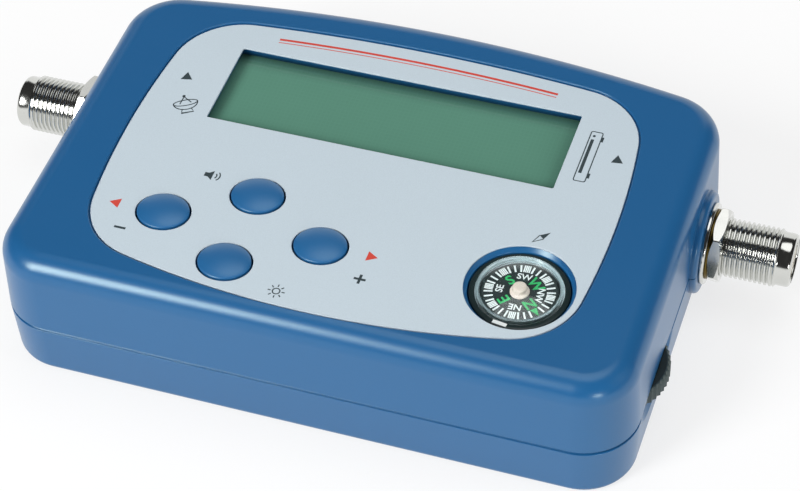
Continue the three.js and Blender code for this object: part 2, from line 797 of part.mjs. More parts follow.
function addKeys() {
  const underside = ceiling - keyStop - keyFlangeThickness;
  const switchTop = underside - keyTravel - keyStop;
  const plungerTop = underside - glueGap;
  const plungerFoot = switchTop - plungerEngagement;
  const pocketFloor = plungerFoot - keyTravel - keyStop;
  for (const [name, [x, y]] of Object.entries(keyPlaces)) {
    addPart(`key_${name}`, atKey(keyCap(), x, y), keyBlue());
    const plunger = bar(plungerRadius, plungerFoot, plungerTop, x, y);
    addPart(`plunger_${name}`, plunger, blackPlastic());
    const body = solid(block(switchSize, switchSize, boardTop + glueGap, switchTop, x, y));
    const pocket = solid(bar(plungerRadius + plungerClearance, pocketFloor, switchTop + overrun, x, y));
    addPart(`switch_${name}`, shell(body.subtract(pocket)), tinned());
  }
}
addKeys();

// Compass: capsule, pivot pin, turning card with its magnet and hub, and a domed lens
function addCompass() {
  const rim = labelTop - capsuleDrop;
  const base = rim - capsuleHeight;
  const floor = base + capsuleFloor;
  const seatRadius = capsuleRadius - capsuleRim;
  const ledgeRadius = seatRadius - lensLedge;
  const seat = rim - lensSeatDepth;
  const pinHole = pivotRadius + pivotClearance / 2;
  const edge = capsuleRim / 4;
  const capsule = turned([
    [pinHole, base],
    [capsuleRadius, base],
    [capsuleRadius, rim - edge],
    [capsuleRadius - edge, rim],
    [seatRadius, rim],
    [seatRadius, seat],
    [ledgeRadius, seat],
    [ledgeRadius, floor],
    [pinHole, floor],
    [pinHole, base],
  ]);
  addPart('compass_capsule', capsule.translate(compassX, compassY, 0), blackPlastic());

  const cardTop = labelTop - cardDrop;
  const hubTop = labelTop;
  const hubBore = pivotRadius + pivotClearance;
  const boreTop = hubTop - hubFlare;
  const tip = boreTop - glueGap;
  const pin = turned([
    [0, base + glueGap],
    [pivotRadius, base + glueGap],
    [pivotRadius, tip - pivotRadius],
    [0, tip],
  ], smallSteps);
  addPart('compass_pivot', pin.translate(compassX, compassY, 0), steel());

  const card = ring(cardRadius, hubBore, cardTop - cardThickness, cardTop, roundSteps);
  addPart('compass_card', card.translate(compassX, compassY, 0), blackPlastic());
  const hub = turned([
    [hubBore, cardTop + glueGap],
    [hubRadius + hubFlare, cardTop + glueGap],
    [hubRadius + hubFlare, cardTop + hubFlare / 2],
    [hubRadius, cardTop + hubFlare],
    [hubRadius, hubTop - hubFlare / 2],
    [hubRadius - hubFlare / 2, hubTop],
    [0, hubTop],
    [0, boreTop],
    [hubBore, boreTop],
    [hubBore, cardTop + glueGap],
  ], smallSteps);
  addPart('compass_hub', hub.translate(compassX, compassY, 0), whitePlastic());
  const magnetTop = cardTop - cardThickness - glueGap;
  const magnetBar = solid(block(magnetLength, magnetWidth, magnetTop - magnetThickness, magnetTop));
  const magnetBore = solid(bar(hubBore, magnetTop - magnetThickness - overrun, magnetTop + overrun));
  const magnet = shell(magnetBar.subtract(magnetBore)).translate(compassX, compassY, 0);
  addPart('compass_magnet', magnet, steel());

  const lensRadius = seatRadius - lensClearance;
  const lensFoot = seat + glueGap;
  const lensEdge = lensFoot + lensRimHeight;
  const innerRadius = lensRadius - lensLedge + lensClearance;
  const inside = [];
  const outside = [];
  for (let i = 0; i <= domeSteps; i += 1) {
    const angle = (i / domeSteps) * (Math.PI / 2);
    const across = i === domeSteps ? 0 : Math.cos(angle);
    const top = lensEdge + lensRise * Math.sin(angle);
    outside.push([lensRadius * across, top]);
    inside.unshift([innerRadius * across, top - lensThickness]);
  }
  const lens = turned([...inside, [innerRadius, lensFoot], [lensRadius, lensFoot], ...outside]);
  addPart('compass_lens', lens.translate(compassX, compassY, 0), clearPlastic());
}
addCompass();

// Knurled thumbwheel with a dished web, a keyed hub and a sunk screw head
function thumbwheel() {
  const sink = wheelScrewHead + seatGap;
  const profile = [
    [0, sink],
    [wheelScrewHeadRadius + rotorClearance, sink],
    [wheelScrewHeadRadius + rotorClearance, 0],
    [wheelRadius + overrun, 0],
    [wheelRadius + overrun, wheelThickness],
    [webOuter, wheelThickness],
    [webOuter, wheelThickness - webDepth],
    [webInner, wheelThickness - webDepth],
    [webInner, wheelThickness],
    [0, wheelThickness],
  ];
  const teeth = [];
  for (let i = 0; i < 2 * toothCount; i += 1) {
    const angle = (i / toothCount) * Math.PI;
    const radius = i % 2 === 0 ? wheelRadius : wheelRadius - toothDepth;
    teeth.push(new THREE.Vector2(radius * Math.cos(angle), radius * Math.sin(angle)));
  }
  const knurl = solid(prism(teeth, -overrun, wheelThickness + overrun));
  const side = rotorKey + 2 * rotorClearance;
  const keyway = block(side, side, wheelThickness - rotorKeyLength, wheelThickness + overrun);
  const bore = bar(wheelScrewRadius + seatGap, -overrun, wheelThickness);
  const body = solid(turned(profile));
  return shell(body.intersect(knurl).subtract(solid(keyway)).subtract(solid(bore)));
}

function addWheel() {
  const collarFrom = wheelTop + seatGap;
  const collarTo = collarFrom + rotorCollarHeight;
  const potBottom = collarTo + seatGap;
  const potTop = boardBottom - glueGap;
  const boreTop = potBottom + (potTop - potBottom) * boreShare;
  const screwFrom = wheelBottom + seatGap / 2;
  const screwTo = collarTo;
  addPart('thumbwheel', thumbwheel().translate(wheelX, wheelY, wheelBottom), blackPlastic());
  const stem = solid(turned([
    [0, collarFrom],
    [rotorCollarRadius, collarFrom],
    [rotorCollarRadius, collarTo],
    [rotorShaftRadius, collarTo],
    [rotorShaftRadius, boreTop - seatGap],
    [0, boreTop - seatGap],
  ], smallSteps));
  const keyFrom = wheelTop - rotorKeyLength + seatGap;
  const key = solid(block(rotorKey, rotorKey, keyFrom, collarFrom + seatGap));
  const pilot = solid(bar(wheelScrewRadius + seatGap / 2, keyFrom - overrun, screwTo + seatGap));
  const rotor = shell(stem.add(key).subtract(pilot));
  addPart('potentiometer_rotor', rotor.translate(wheelX, wheelY, 0), whitePlastic());
  const head = wheelScrewHead - seatGap;
  const screw = panScrew(wheelScrewHeadRadius, head, wheelScrewRadius, screwFrom, screwTo);
  addPart('thumbwheel_screw', screw.translate(wheelX, wheelY, 0), steel());
  const body = solid(block(potSize, potSize, potBottom, potTop));
  const bore = solid(bar(rotorShaftRadius + rotorClearance, potBottom - overrun, boreTop));
  const pot = shell(body.subtract(bore));
  addPart('potentiometer_body', pot.translate(wheelX, wheelY, 0), blackPlastic());
}
addWheel();

// One threaded socket with the pieces that clamp it to its end wall
function addSocket(name, side) {
  const bore = threadRadius + boreGap;
  const noseStart = socketReach - noseLength;
  const barrelProfile = [
    [socketBoreRadius, flangeStart],
    [flangeRadius, flangeStart],
    [flangeRadius, flangeStart + flangeThickness],
    [threadRadius, flangeStart + flangeThickness],
    [threadRadius, noseStart - noseEdge / 2],
    [noseRadius, noseStart],
  ];
  for (let i = 0; i <= filletSteps; i += 1) {
    const angle = (i / filletSteps) * (Math.PI / 2);
    const radius = noseRadius - noseEdge * (1 - Math.cos(angle));
    barrelProfile.push([radius, socketReach - noseEdge * (1 - Math.sin(angle))]);
  }
  barrelProfile.push([socketBoreRadius, socketReach], [socketBoreRadius, flangeStart]);
  addPart(`${name}_socket_barrel`, alongSocket(turned(barrelProfile, keySteps), side), nickel());

  const sleeveRadius = socketBoreRadius - seatGap;
  const face = socketReach - insulatorSet;
  const holeRadius = contactRadius + boreGap;
  const contactFace = face - 2 * entryDepth;
  const insulator = turned([
    [holeRadius, flangeStart],
    [sleeveRadius, flangeStart],
    [sleeveRadius, face],
    [entryRadius, face],
    [contactBoreRadius, face - entryDepth],
    [contactBoreRadius, contactFace + boreGap],
    [holeRadius, contactFace + boreGap],
    [holeRadius, flangeStart],
  ], smallSteps);
  addPart(`${name}_socket_insulator`, alongSocket(insulator, side), whitePlastic());
  const contact = turned([
    [0, flangeStart - contactTail],
    [contactBoreRadius, flangeStart - contactTail],
    [contactBoreRadius, flangeStart - seatGap],
    [contactRadius, flangeStart],
    [contactRadius, contactFace],
    [contactBoreRadius, contactFace],
    [contactBoreRadius, contactFace - contactDepth],
    [0, contactFace - contactDepth],
  ], smallSteps);
  addPart(`${name}_socket_contact`, alongSocket(contact, side), brass());

  const washerFrom = bossFace + stackGap;
  const washerTo = washerFrom + washerThickness;
  const washerEdge = washerThickness * washerEdgeShare;
  const washer = turned([
    [bore, washerFrom],
    [washerRadius, washerFrom],
    [washerRadius, washerTo - washerEdge],
    [washerRadius - washerEdge, washerTo],
    [bore, washerTo],
    [bore, washerFrom],
  ], keySteps);
  addPart(`${name}_socket_washer`, alongSocket(washer, side), nickel());
  const lockFrom = washerTo + stackGap;
  const lockTo = lockFrom + lockWasherThickness;
  const lockWasher = ring(lockWasherRadius, bore, lockFrom, lockTo);
  addPart(`${name}_socket_lock_washer`, alongSocket(lockWasher, side), brass());

  const nutFrom = lockTo + stackGap;
  const nutTo = nutFrom + nutThickness;
  const cornerRadius = nutAcrossFlats / Math.sqrt(3);
  const hexagon = arc(0, 0, cornerRadius, 0, 2 * Math.PI, 6).slice(0, -1);
  const hex = prism(hexagon, nutFrom, nutTo).rotateZ(nutTurn);
  const chamfer = nutChamfer * chamferRiseShare;
  const envelope = turned([
    [bore, nutFrom],
    [cornerRadius - nutChamfer, nutFrom],
    [cornerRadius, nutFrom + chamfer],
    [cornerRadius, nutTo - chamfer],
    [cornerRadius - nutChamfer, nutTo],
    [bore, nutTo],
    [bore, nutFrom],
  ], keySteps);
  const nut = shell(solid(hex).intersect(solid(envelope)));
  addPart(`${name}_socket_nut`, alongSocket(nut, side), nickel());
}
addSocket('dish', -1);
addSocket('receiver', 1);

// Board shaped to the case, notched round the screw posts and held by two screws
function addBoard() {
  const outline = caseOutline(wall + wallDraft + boardClearance);
  const span = solid(block(2 * shieldHalfLength, caseDepth, boardBottom, boardTop));
  let board = solid(prism(outline, boardBottom, boardTop)).intersect(span);
  for (const [x, y] of postPlaces) {
    const notch = bar(upperPostRadius + boardClearance, boardBottom - overrun, boardTop + overrun, x, y);
    board = board.subtract(solid(notch));
  }
  const headTop = boardBottom - glueGap;
  [-1, 1].forEach((side, i) => {
    const x = side * boardScrewX;
    const hole = bar(boardScrewRadius + screwClearance, boardBottom - overrun, boardTop + overrun);
    board = board.subtract(solid(hole.translate(x, boardScrewY, 0)));
    const screw = panScrew(boardScrewHeadRadius, boardScrewHead, boardScrewRadius, headTop - boardScrewHead,
      boardTop + boardScrewBite);
    addPart(`board_screw_${i + 1}`, screw.translate(x, boardScrewY, 0), steel());
  });
  addPart('main_board', shell(board), boardGreen());
}
addBoard();

// Tuner shield between the two sockets: a folded wall frame and a lid with a skirt
function addShield() {
  const bottom = baseWall + shieldFloorGap;
  const top = boardBottom - glueGap;
  const length = 2 * shieldHalfLength;
  const innerLength = length - 2 * shieldSheet;
  const innerDepth = shieldDepth - 2 * shieldSheet;
  const inner = block(innerLength, innerDepth, bottom - overrun, top + overrun, 0, socketY);
  let frame = solid(block(length, shieldDepth, bottom, top, 0, socketY)).subtract(solid(inner));
  for (const side of [-1, 1]) {
    const hole = bar(contactRadius + seatGap, shieldHalfLength - overrun, shieldHalfLength + overrun);
    frame = frame.subtract(solid(alongSocket(hole, side)));
  }
  addPart('shield_frame', shell(frame), tinned());
  const skirt = shieldSheet + seatGap;
  const lidTop = bottom + shieldLidSkirt;
  const outerDepth = shieldDepth - 2 * skirt;
  const outerLength = length - 2 * skirt;
  const tray = solid(block(outerLength, outerDepth, bottom, lidTop, 0, socketY));
  const hollow = block(outerLength - 2 * shieldSheet, outerDepth - 2 * shieldSheet, bottom + shieldSheet,
    lidTop + overrun, 0, socketY);
  addPart('shield_lid', shell(tray.subtract(solid(hollow))), tinned());
}
addShield();

// Larger components under the board
function addComponents() {
  const top = boardBottom - glueGap;
  const chipBottom = top - chipThickness;
  const tuner = block(tunerChipSize, tunerChipSize, chipBottom, top, 0, socketY);
  addPart('tuner_chip', tuner, blackPlastic());
  const controllerY = socketY - shieldDepth / 2 - controllerSize;
  const controller = block(controllerSize, controllerSize, chipBottom, top, 0, controllerY);
  addPart('controller_chip', controller, blackPlastic());
  const crystalX = -(controllerSize + crystalWidth) / 2 - componentGap;
  const crystal = block(crystalWidth, crystalLength, top - crystalHeight, top, crystalX, controllerY);
  addPart('crystal', crystal, steel());
  const sounder = turned([
    [0, buzzerHeight / 2],
    [buzzerHoleRadius, buzzerHeight / 2],
    [buzzerHoleRadius, 0],
    [buzzerRadius, 0],
    [buzzerRadius, buzzerHeight],
    [0, buzzerHeight],
  ], smallSteps);
  const sounderX = crystalX - crystalWidth / 2 - componentGap - buzzerRadius;
  addPart('sounder', sounder.translate(sounderX, controllerY, top - buzzerHeight), blackPlastic());
  const groove = capacitorGroove;
  for (let i = 0; i < 2; i += 1) {
    const can = turned([
      [0, 0],
      [capacitorRadius, 0],
      [capacitorRadius, capacitorHeight - 3 * groove],
      [capacitorRadius - groove, capacitorHeight - 2 * groove],
      [capacitorRadius, capacitorHeight - groove],
      [capacitorRadius, capacitorHeight],
      [0, capacitorHeight],
    ], smallSteps);
    const x = controllerSize / 2 + (i + 1) * (componentGap + 2 * capacitorRadius) - capacitorRadius;
    const part = can.translate(x, controllerY, top - capacitorHeight);
    addPart(`capacitor_${i + 1}`, part, steel());
  }
}
addComponents();

export default group;
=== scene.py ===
"""Handheld signal meter: the fine skin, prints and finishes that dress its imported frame.

Lengths are in metres in the part's own frame. +X runs to the receiver socket, +Y to the bowed back
and +Z up through the front label. Each operator makes one piece or one group of like pieces.
"""

from math import atan2, ceil, cos, hypot, pi, radians, sin, sqrt, tau

import bmesh
import bpy
from mathutils import Matrix, Vector


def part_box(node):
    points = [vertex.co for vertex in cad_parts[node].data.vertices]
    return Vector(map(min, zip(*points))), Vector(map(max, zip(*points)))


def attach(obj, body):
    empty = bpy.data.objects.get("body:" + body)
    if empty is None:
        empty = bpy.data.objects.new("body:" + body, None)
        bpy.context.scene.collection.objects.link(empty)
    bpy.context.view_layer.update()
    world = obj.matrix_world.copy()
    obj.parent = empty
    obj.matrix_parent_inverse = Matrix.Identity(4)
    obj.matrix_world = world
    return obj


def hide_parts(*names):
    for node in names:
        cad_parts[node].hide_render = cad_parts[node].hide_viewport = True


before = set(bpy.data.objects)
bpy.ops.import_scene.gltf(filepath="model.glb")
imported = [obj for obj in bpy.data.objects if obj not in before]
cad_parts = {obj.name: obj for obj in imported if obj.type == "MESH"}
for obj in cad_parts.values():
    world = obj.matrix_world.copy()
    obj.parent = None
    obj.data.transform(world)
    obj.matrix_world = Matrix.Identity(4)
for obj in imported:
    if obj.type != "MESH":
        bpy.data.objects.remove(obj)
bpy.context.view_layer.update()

bl_info = {
    "name": "Signal meter",
    "version": (1, 0, 0),
    "blender": (4, 5, 0),
    "location": "3D View > Sidebar > Signal meter",
    "description": "Dresses the packed frame of a handheld satellite signal meter",
    "category": "Object",
}

MM = 0.001
KEYS = ("attenuate_down", "attenuate_up", "sounder", "light")
SOCKETS = {"dish": -1, "receiver": 1}
CASE_SCREWS = ("case_screw_1", "case_screw_2", "case_screw_3", "case_screw_4")
WHITE = (1, 1, 1, 1)
SATIN_TINT = (0.82, 1.0, 0.94, 1)

# How finely curves are divided
CORNER_STEPS = 16
BOW_STEPS = 48
FILLET_STEPS = 12
BASE_STEPS = 8
INNER_STEPS = 6
EDGE_STEPS = 4
ROUND_STEPS = 96
KEY_STEPS = 72
SMALL_STEPS = 48
PILOT_STEPS = 32
THREAD_STEPS = 24

# Distances in metres under which points are one point or lie on an axis
SAME_PLACE = 1e-9
ON_AXIS = 1e-7
WELD_SOLID = 1e-8
WELD_COPY = 1e-7
WELD_PRINT = 1e-6

# Small sizes that more than one step uses, or that a function needs by name
OVERRUN = 1 * MM
OVERLAP = 0.3 * MM
SEAM_GAP = 0.15 * MM
GLASS_GAP = 0.15 * MM
SOCKET_GAP = 0.2 * MM
NUT_GAP = 0.1 * MM
HEAD_REST = 1.9 * MM
PANE_CORNER = 0.3 * MM
RULE_REACH = 25 * MM
SIGN = (0.95, 0.21)
FLECK = 0.00009
LETTER_WEIGHT = 0.018
LEAST_MITRE = 0.5
TICKS = 32
SENSOR = 36


def size(name, description, millimetres):
    """Length property with its default given in millimetres."""
    return bpy.props.FloatProperty(
        name=name, description=description, default=millimetres * MM, min=0, precision=5, unit="LENGTH"
    )


def tint(name, description, code):
    """Colour property with its default given as a six-digit hexadecimal code."""
    shades = [int(code[i:i + 2], 16) / 255 for i in (0, 2, 4)]
    linear = [s / 12.92 if s <= 0.04045 else ((s + 0.055) / 1.055) ** 2.4 for s in shades]
    return bpy.props.FloatVectorProperty(
        name=name, description=description, default=linear, size=3, min=0, max=1, subtype="COLOR"
    )


def angle_of(name, description, degrees):
    """Angle property with its default given in degrees."""
    return bpy.props.FloatProperty(name=name, description=description, default=radians(degrees), subtype="ANGLE")


class CaseSizes(bpy.types.PropertyGroup):
    """Sizes of the two moulded covers."""

    length: size("Length", "Length of the case without its sockets", 103.5)
    front_corner: size("Front corner", "Radius of the two front corners in plan", 8.9)
    back_corner: size("Back corner", "Radius of the two back corners in plan", 9.8)
    bow_rise: size("Back bow", "Rise of the bowed back over the whole length", 5.35)
    top_fillet: size("Top edge", "Radius of the rolled top edge", 3.8)
    base_fillet: size("Base edge", "Radius of the bottom edge", 1.3)
    draft: size("Draft", "How far each wall leans in from the seam to its far edge", 0.35)
    wall: size("Wall", "Thickness of the side walls", 1.9)
    groove: size("Seam groove", "Depth of the groove under the seam", 0.35)
    seam_round: size("Seam edge", "Rounding of the edges at the seam", 0.15)
    lip: size("Lip", "Thickness of the lip that locates the two covers", 0.85)
    lip_height: size("Lip height", "Height of the lip above the seam", 1.2)
    lip_clearance: size("Lip clearance", "Gap round the lip", 0.2)
    mouth_round: size("Recess edge", "Rounding of the case edge round the label", 0.22)
    boss_radius: size("Boss", "Radius of the boss behind each socket", 8.45)
    boss_edge: size("Boss edge", "Rounding of the boss", 0.9)
    boss_root: size("Boss root", "Fillet between the boss and the end wall", 0.45)
    hollow_length: size("Finger hollow length", "Half length of the hollow round the wheel", 9.8)
    hollow_height: size("Finger hollow height", "Half height of the hollow round the wheel", 5.6)
    hollow_upper: size("Upper hollow depth", "Depth of the finger hollow in the upper cover", 0.12)
    hollow_lower: size("Lower hollow depth", "Depth of the finger hollow in the lower cover", 1.7)
    hollow_forward: size("Finger hollow shift", "How far the hollow lies in front of the wheel's axis", 1)


class LabelSizes(bpy.types.PropertyGroup):
    """Sizes of the front label and of what is printed on it."""

    clearance: size("Clearance", "Gap between the label and the edge of its recess", 0.3)
    recess: size("Recess", "Depth of the recess under the top face", 0.5)
    front_rise: size("Front bow", "Rise of the label's front side", 6.17)
    back_rise: size("Back bow", "Rise of the label's back side", 2.83)
    side_rise: size("Side bow", "Rise of the label's two ends", 3.185)
    corner: size("Corner", "Radius of the label's corners", 12)
    edge_round: size("Edge", "Rounding of the label's upper edges", 0.1)
    window_border: size("Window border", "How far the display glass reaches under the case", 2.6)
    window_margin: size("Window margin", "Gap between the label and the long sides of the window in the case", 0.4)
    window_undercut: size("Window undercut", "Gap between the label and the ends of the window in the case", 0.55)
    print_height: size("Ink height", "Height of the printed marks", 0.02)
    line_width: size("Line width", "Width of the fine printed lines", 0.17)


class KeySizes(bpy.types.PropertyGroup):
    """Sizes of the four domed oval keys, with radii given along X."""

    radius: size("Radius", "Radius of the cap", 4.22)
    oval: bpy.props.FloatProperty(
        name="Oval", description="Depth of a key as a share of its length", default=0.88, min=0, subtype="FACTOR"
    )
    clearance: size("Clearance", "Gap between a cap and its hole", 0.3)
    straight: size("Skirt", "Straight part of the cap above the label", 0.15)
    dome: bpy.props.FloatProperty(
        name="Dome", description="Share of its rise that the cap falls from the middle to the rim", default=0.72,
        min=0, max=1, subtype="FACTOR"
    )
    stem: size("Stem", "Radius of the stem over the switch", 2.2)
    shell: size("Shell", "Thickness of the cap", 1)
    flange: size("Flange", "Thickness of the retaining flange", 0.8)


class CompassSizes(bpy.types.PropertyGroup):
    """Sizes of the compass capsule and its card."""

    capsule: size("Capsule", "Outer radius of the capsule", 7.85)
    rim: size("Rim", "Width of the capsule's rim", 1)
    ledge: size("Ledge", "Width of the ledge under the lens", 0.7)
    bevel: size("Bevel", "Width of the bevelled mouth of the well", 0.62)
    clearance: size("Clearance", "Gap round the capsule", 0.15)
    card: size("Card", "Radius of the card", 5.9)
    tick_inner: size("Tick start", "Inner radius of the scale", 4.1)
    tick_outer: size("Tick end", "Outer radius of the scale", 5.45)
    tick_width: size("Tick width", "Width of one tick", 0.29)
    letter: size("Letter", "Height of the four large letters", 1.85)
    pair: size("Pair", "Height of the four letter pairs", 1.15)
    bearing: angle_of("Bearing", "Direction of north on the card at rest, from +X", -42.8)


class SocketSizes(bpy.types.PropertyGroup):
    """Sizes of the two threaded sockets."""

    thread_radius: size("Thread", "Crest radius of the thread", 4.76)
    pitch: size("Pitch", "Advance of the thread in one turn", 0.794)
    thread_depth: size("Thread depth", "Depth of the thread", 0.42)
    nose_radius: size("Nose", "Radius of the plain nose", 4.35)
    nose_length: size("Nose length", "Length of the plain nose", 2.2)
    nose_edge: size("Nose edge", "Rounding of the nose", 0.8)
    bore: size("Bore", "Radius of the bore", 3.3)
    flange: size("Flange", "Thickness of the flange inside the case", 1.9)
    flats: size("Nut", "Width of the nut across its flats", 11.4)
    nut_chamfer: size("Nut chamfer", "Width of the chamfer on the nut", 0.88)
    nut_rise: size("Nut chamfer height", "Height of the chamfer on the nut", 0.51)
    nut_turn: angle_of("Nut turn", "Turn of the nut about its axis", 38.7)


class WheelSizes(bpy.types.PropertyGroup):
    """Sizes of the knurled thumbwheel and of the case screws."""

    teeth: bpy.props.IntProperty(name="Teeth", description="Number of teeth", default=52, min=8)
    tooth_depth: size("Tooth depth", "Depth of the knurl", 0.35)
    edge: size("Edge", "Chamfer at both ends of the teeth", 0.3)
    web_inner: size("Web start", "Inner radius of the dished web", 3.3)
    web_outer: size("Web end", "Outer radius of the dished web", 6.9)
    web_depth: size("Web depth", "Depth of the dish", 0.6)
    head_hole: size("Head hole", "Radius of the sink for the screw head", 2)
    room: size("Room", "Gap between the wheel and its slot", 0.5)
    screw_hole: size("Screw sink", "Radius of the sinks under the case", 2.9)
    shank_hole: size("Screw hole", "Radius of the holes for the case screws", 1.5)


class Finishes(bpy.types.PropertyGroup):
    """Colours of the plastics, prints and metals."""

    case: tint("Case", "Satin plastic of the two covers", "1a5b8f")
    keys: tint("Keys", "Satin plastic of the keys", "1d6197")
    label: tint("Label", "Silver grey of the label", "c2d0d9")
    dark_ink: tint("Dark ink", "Symbols on the label", "2e3d42")
    red_ink: tint("Red ink", "Arrows and rule on the label", "cf4436")
    white_ink: tint("White ink", "Scale of the compass", "e9eeee")
    green_ink: tint("Green ink", "Main letters of the compass", "35b86a")
    display: tint("Display", "Resting display", "5b8c79")
    black: tint("Black plastic", "Wheel, capsule and frames", "1d2a2b")
    cream: tint("Pale plastic", "Hub, insulators and light guide", "ece6da")
    # The teeth round the wheel's rim get this paler tone, a lighter colour than the face of the wheel.
    rim: tint("Wheel rim", "Paler teeth of the thumbwheel", "3b4a4a")
    # Painted reflection: this pale grey inside the capsule stands in for the light shown by its clear inner wall and
    # by the rim of the lens.
    seat: tint("Capsule inside", "Pale inside of the compass capsule", "9aabb0")
    hub: tint("Hub", "Centre cap of the compass", "d9cabf")
    clear: tint("Lens", "Clear plastic of the compass lens", "f0f6f6")
    nickel: tint("Nickel", "Plating of the sockets, nuts and washers", "d3d4d0")
    brass: tint("Brass", "Contacts and lock washers", "7d6a38")
    steel: tint("Steel", "Screws, pin, cans and magnet", "a7aaad")
    tin: tint("Tinned steel", "Shield and switches", "bcbfbe")
    board: tint("Board", "Lacquer of the board", "2a6a49")
    rubber: tint("Rubber", "Contact strips of the display", "6f7174")


class StageSettings(bpy.types.PropertyGroup):
    """Camera, floor and light."""

    target: bpy.props.FloatVectorProperty(
        name="Target", description="Point in the middle of the picture",
        default=(4.88214 * MM, -1.05735 * MM, 8.30772 * MM), size=3, precision=5, subtype="TRANSLATION", unit="LENGTH"
    )
    distance: size("Distance", "From the target to the camera", 411.5785)
    azimuth: angle_of("Azimuth", "Turn of the camera about the part", 20.531)
    elevation: angle_of("Elevation", "Height angle of the camera", 46.782)
    roll: angle_of("Roll", "Tilt of the picture", -3.057)
    lens: bpy.props.FloatProperty(
        name="Lens", description="Focal length in millimetres on a 36 mm sensor", default=114.086, min=1
    )


GROUPS = {
    "meter_case": CaseSizes,
    "meter_label": LabelSizes,
    "meter_keys": KeySizes,
    "meter_compass": CompassSizes,
    "meter_sockets": SocketSizes,
    "meter_wheel": WheelSizes,
    "meter_finishes": Finishes,
    "meter_stage": StageSettings,
}


def settings(group):
    """Property group of the scene by its short name."""
    return getattr(bpy.context.scene, f"meter_{group}")


def middle(node):
    """Middle of a node's box in plan."""
    low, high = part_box(node)
    return (low.x + high.x) / 2, (low.y + high.y) / 2


def half_size(node, axis):
    """Half of a node's size along an axis, 0 for X to 2 for Z."""
    low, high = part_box(node)
    return (high[axis] - low[axis]) / 2


def top_of(node):
    """Highest corner of a node's box."""
    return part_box(node)[1]


def bottom(node):
    """Lowest height of a node."""
    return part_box(node)[0].z


def top(node):
    """Highest height of a node."""
    return top_of(node).z


def window_half():
    """Half of the window in the label along X and along Y, and its middle along Y."""
    glass, border = "display_front_glass", settings("label").window_border
    return half_size(glass, 0) - border, half_size(glass, 1) - border, middle(glass)[1]


# Outlines in plan, given as lists of (x, y), counterclockwise


def spread(start, stop, steps):
    """Even values from start to stop, both included."""
    return [start + (stop - start) * i / steps for i in range(steps + 1)]


def arc(x, y, radius, start, stop, steps):
    """Points along an arc."""
    return [(x + radius * cos(angle), y + radius * sin(angle)) for angle in spread(start, stop, steps)]


def circle(x, y, radius, steps=ROUND_STEPS):
    """Points round a full circle."""
    return arc(x, y, radius, 0, tau, steps)[:-1]


def bow_radius(half_length, rise):
    """Radius of a bowed side from half its length and its rise."""
    return (half_length ** 2 + rise ** 2) / (2 * rise)


def case_outline(inset):
    """Outline of the case moved inwards: straight front and ends, bowed back and round corners."""
    case = settings("case")
    low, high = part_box("upper_cover")
    half = case.length / 2
    bow = bow_radius(half, case.bow_rise)
    bow_y = high.y - bow
    front_x, front_y = half - case.front_corner, low.y + case.front_corner
    back_x = half - case.back_corner
    back_y = bow_y + sqrt((bow - case.back_corner) ** 2 - back_x ** 2)
    turn = atan2(back_y - bow_y, back_x)
    front, back = case.front_corner - inset, case.back_corner - inset
    return [
        *arc(-front_x, front_y, front, pi, 1.5 * pi, CORNER_STEPS),
        *arc(front_x, front_y, front, 1.5 * pi, tau, CORNER_STEPS),
        *arc(back_x, back_y, back, 0, turn, CORNER_STEPS),
        *arc(0, bow_y, bow - inset, turn, pi - turn, BOW_STEPS)[1:-1],
        *arc(-back_x, back_y, back, pi - turn, pi, CORNER_STEPS),
    ]


def corner_centre(first, second, radius, outward):
    """Centre of a corner that touches two bowed sides from inside; a side is (centre, radius)."""
    reach, other = first[1] - radius, second[1] - radius
    span = second[0] - first[0]
    along = (reach ** 2 - other ** 2 + span.length_squared) / (2 * span.length)
    away = sqrt(reach ** 2 - along ** 2)
    forward = span.normalized()
    across = Vector((-forward.y, forward.x))
    foot = first[0] + forward * along
    return max(foot + across * away, foot - across * away, key=outward.dot)


def label_outline(inset):
    """Outline of the label's recess moved inwards: four bowed sides with round corners."""
    label = settings("label")
    low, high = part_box("front_label")
    half = high.x + label.clearance
    front, back = low.y - label.clearance, high.y + label.clearance
    front_bow, back_bow = bow_radius(half, label.front_rise), bow_radius(half, label.back_rise)
    side_bow = bow_radius((back - front) / 2, label.side_rise)
    side_y = (front + back) / 2
    right = (Vector((half - side_bow, side_y)), side_bow)
    rear = (Vector((0, back - back_bow)), back_bow)
    fore = (Vector((0, front + front_bow)), front_bow)
    low_corner = corner_centre(right, fore, label.corner, Vector((1, -1)))
    high_corner = corner_centre(right, rear, label.corner, Vector((1, 1)))

    def angle(start, end):
        return atan2(end.y - start.y, end.x - start.x)

    right_from, right_to = angle(right[0], low_corner), angle(right[0], high_corner)
    rear_from, fore_to = angle(rear[0], high_corner), angle(fore[0], low_corner)
    half_outline = [
        *arc(*low_corner, label.corner - inset, fore_to, right_from, CORNER_STEPS),
        *arc(*right[0], side_bow - inset, right_from, right_to, CORNER_STEPS)[1:-1],
        *arc(*high_corner, label.corner - inset, right_to, rear_from, CORNER_STEPS),
        *arc(*rear[0], back_bow - inset, rear_from, pi / 2, BOW_STEPS // 2)[1:],
    ]
    front_part = arc(*fore[0], front_bow - inset, -pi / 2, fore_to, BOW_STEPS // 2)[:-1]
    half_outline = front_part + half_outline
    return half_outline + [(-x, y) for x, y in reversed(half_outline[1:-1])]


def rectangle(half_x, half_y, radius=0.0, x=0.0, y=0.0, steps=4):
    """Rectangle with round corners about a middle."""
    if not radius:
        return [(x - half_x, y - half_y), (x + half_x, y - half_y), (x + half_x, y + half_y), (x - half_x, y + half_y)]
    points = []
    for i, (side, end) in enumerate(((-1, -1), (1, -1), (1, 1), (-1, 1))):
        start = pi + i * pi / 2
        points += arc(
            x + side * (half_x - radius), y + end * (half_y - radius), radius, start, start + pi / 2, steps
        )
    return points


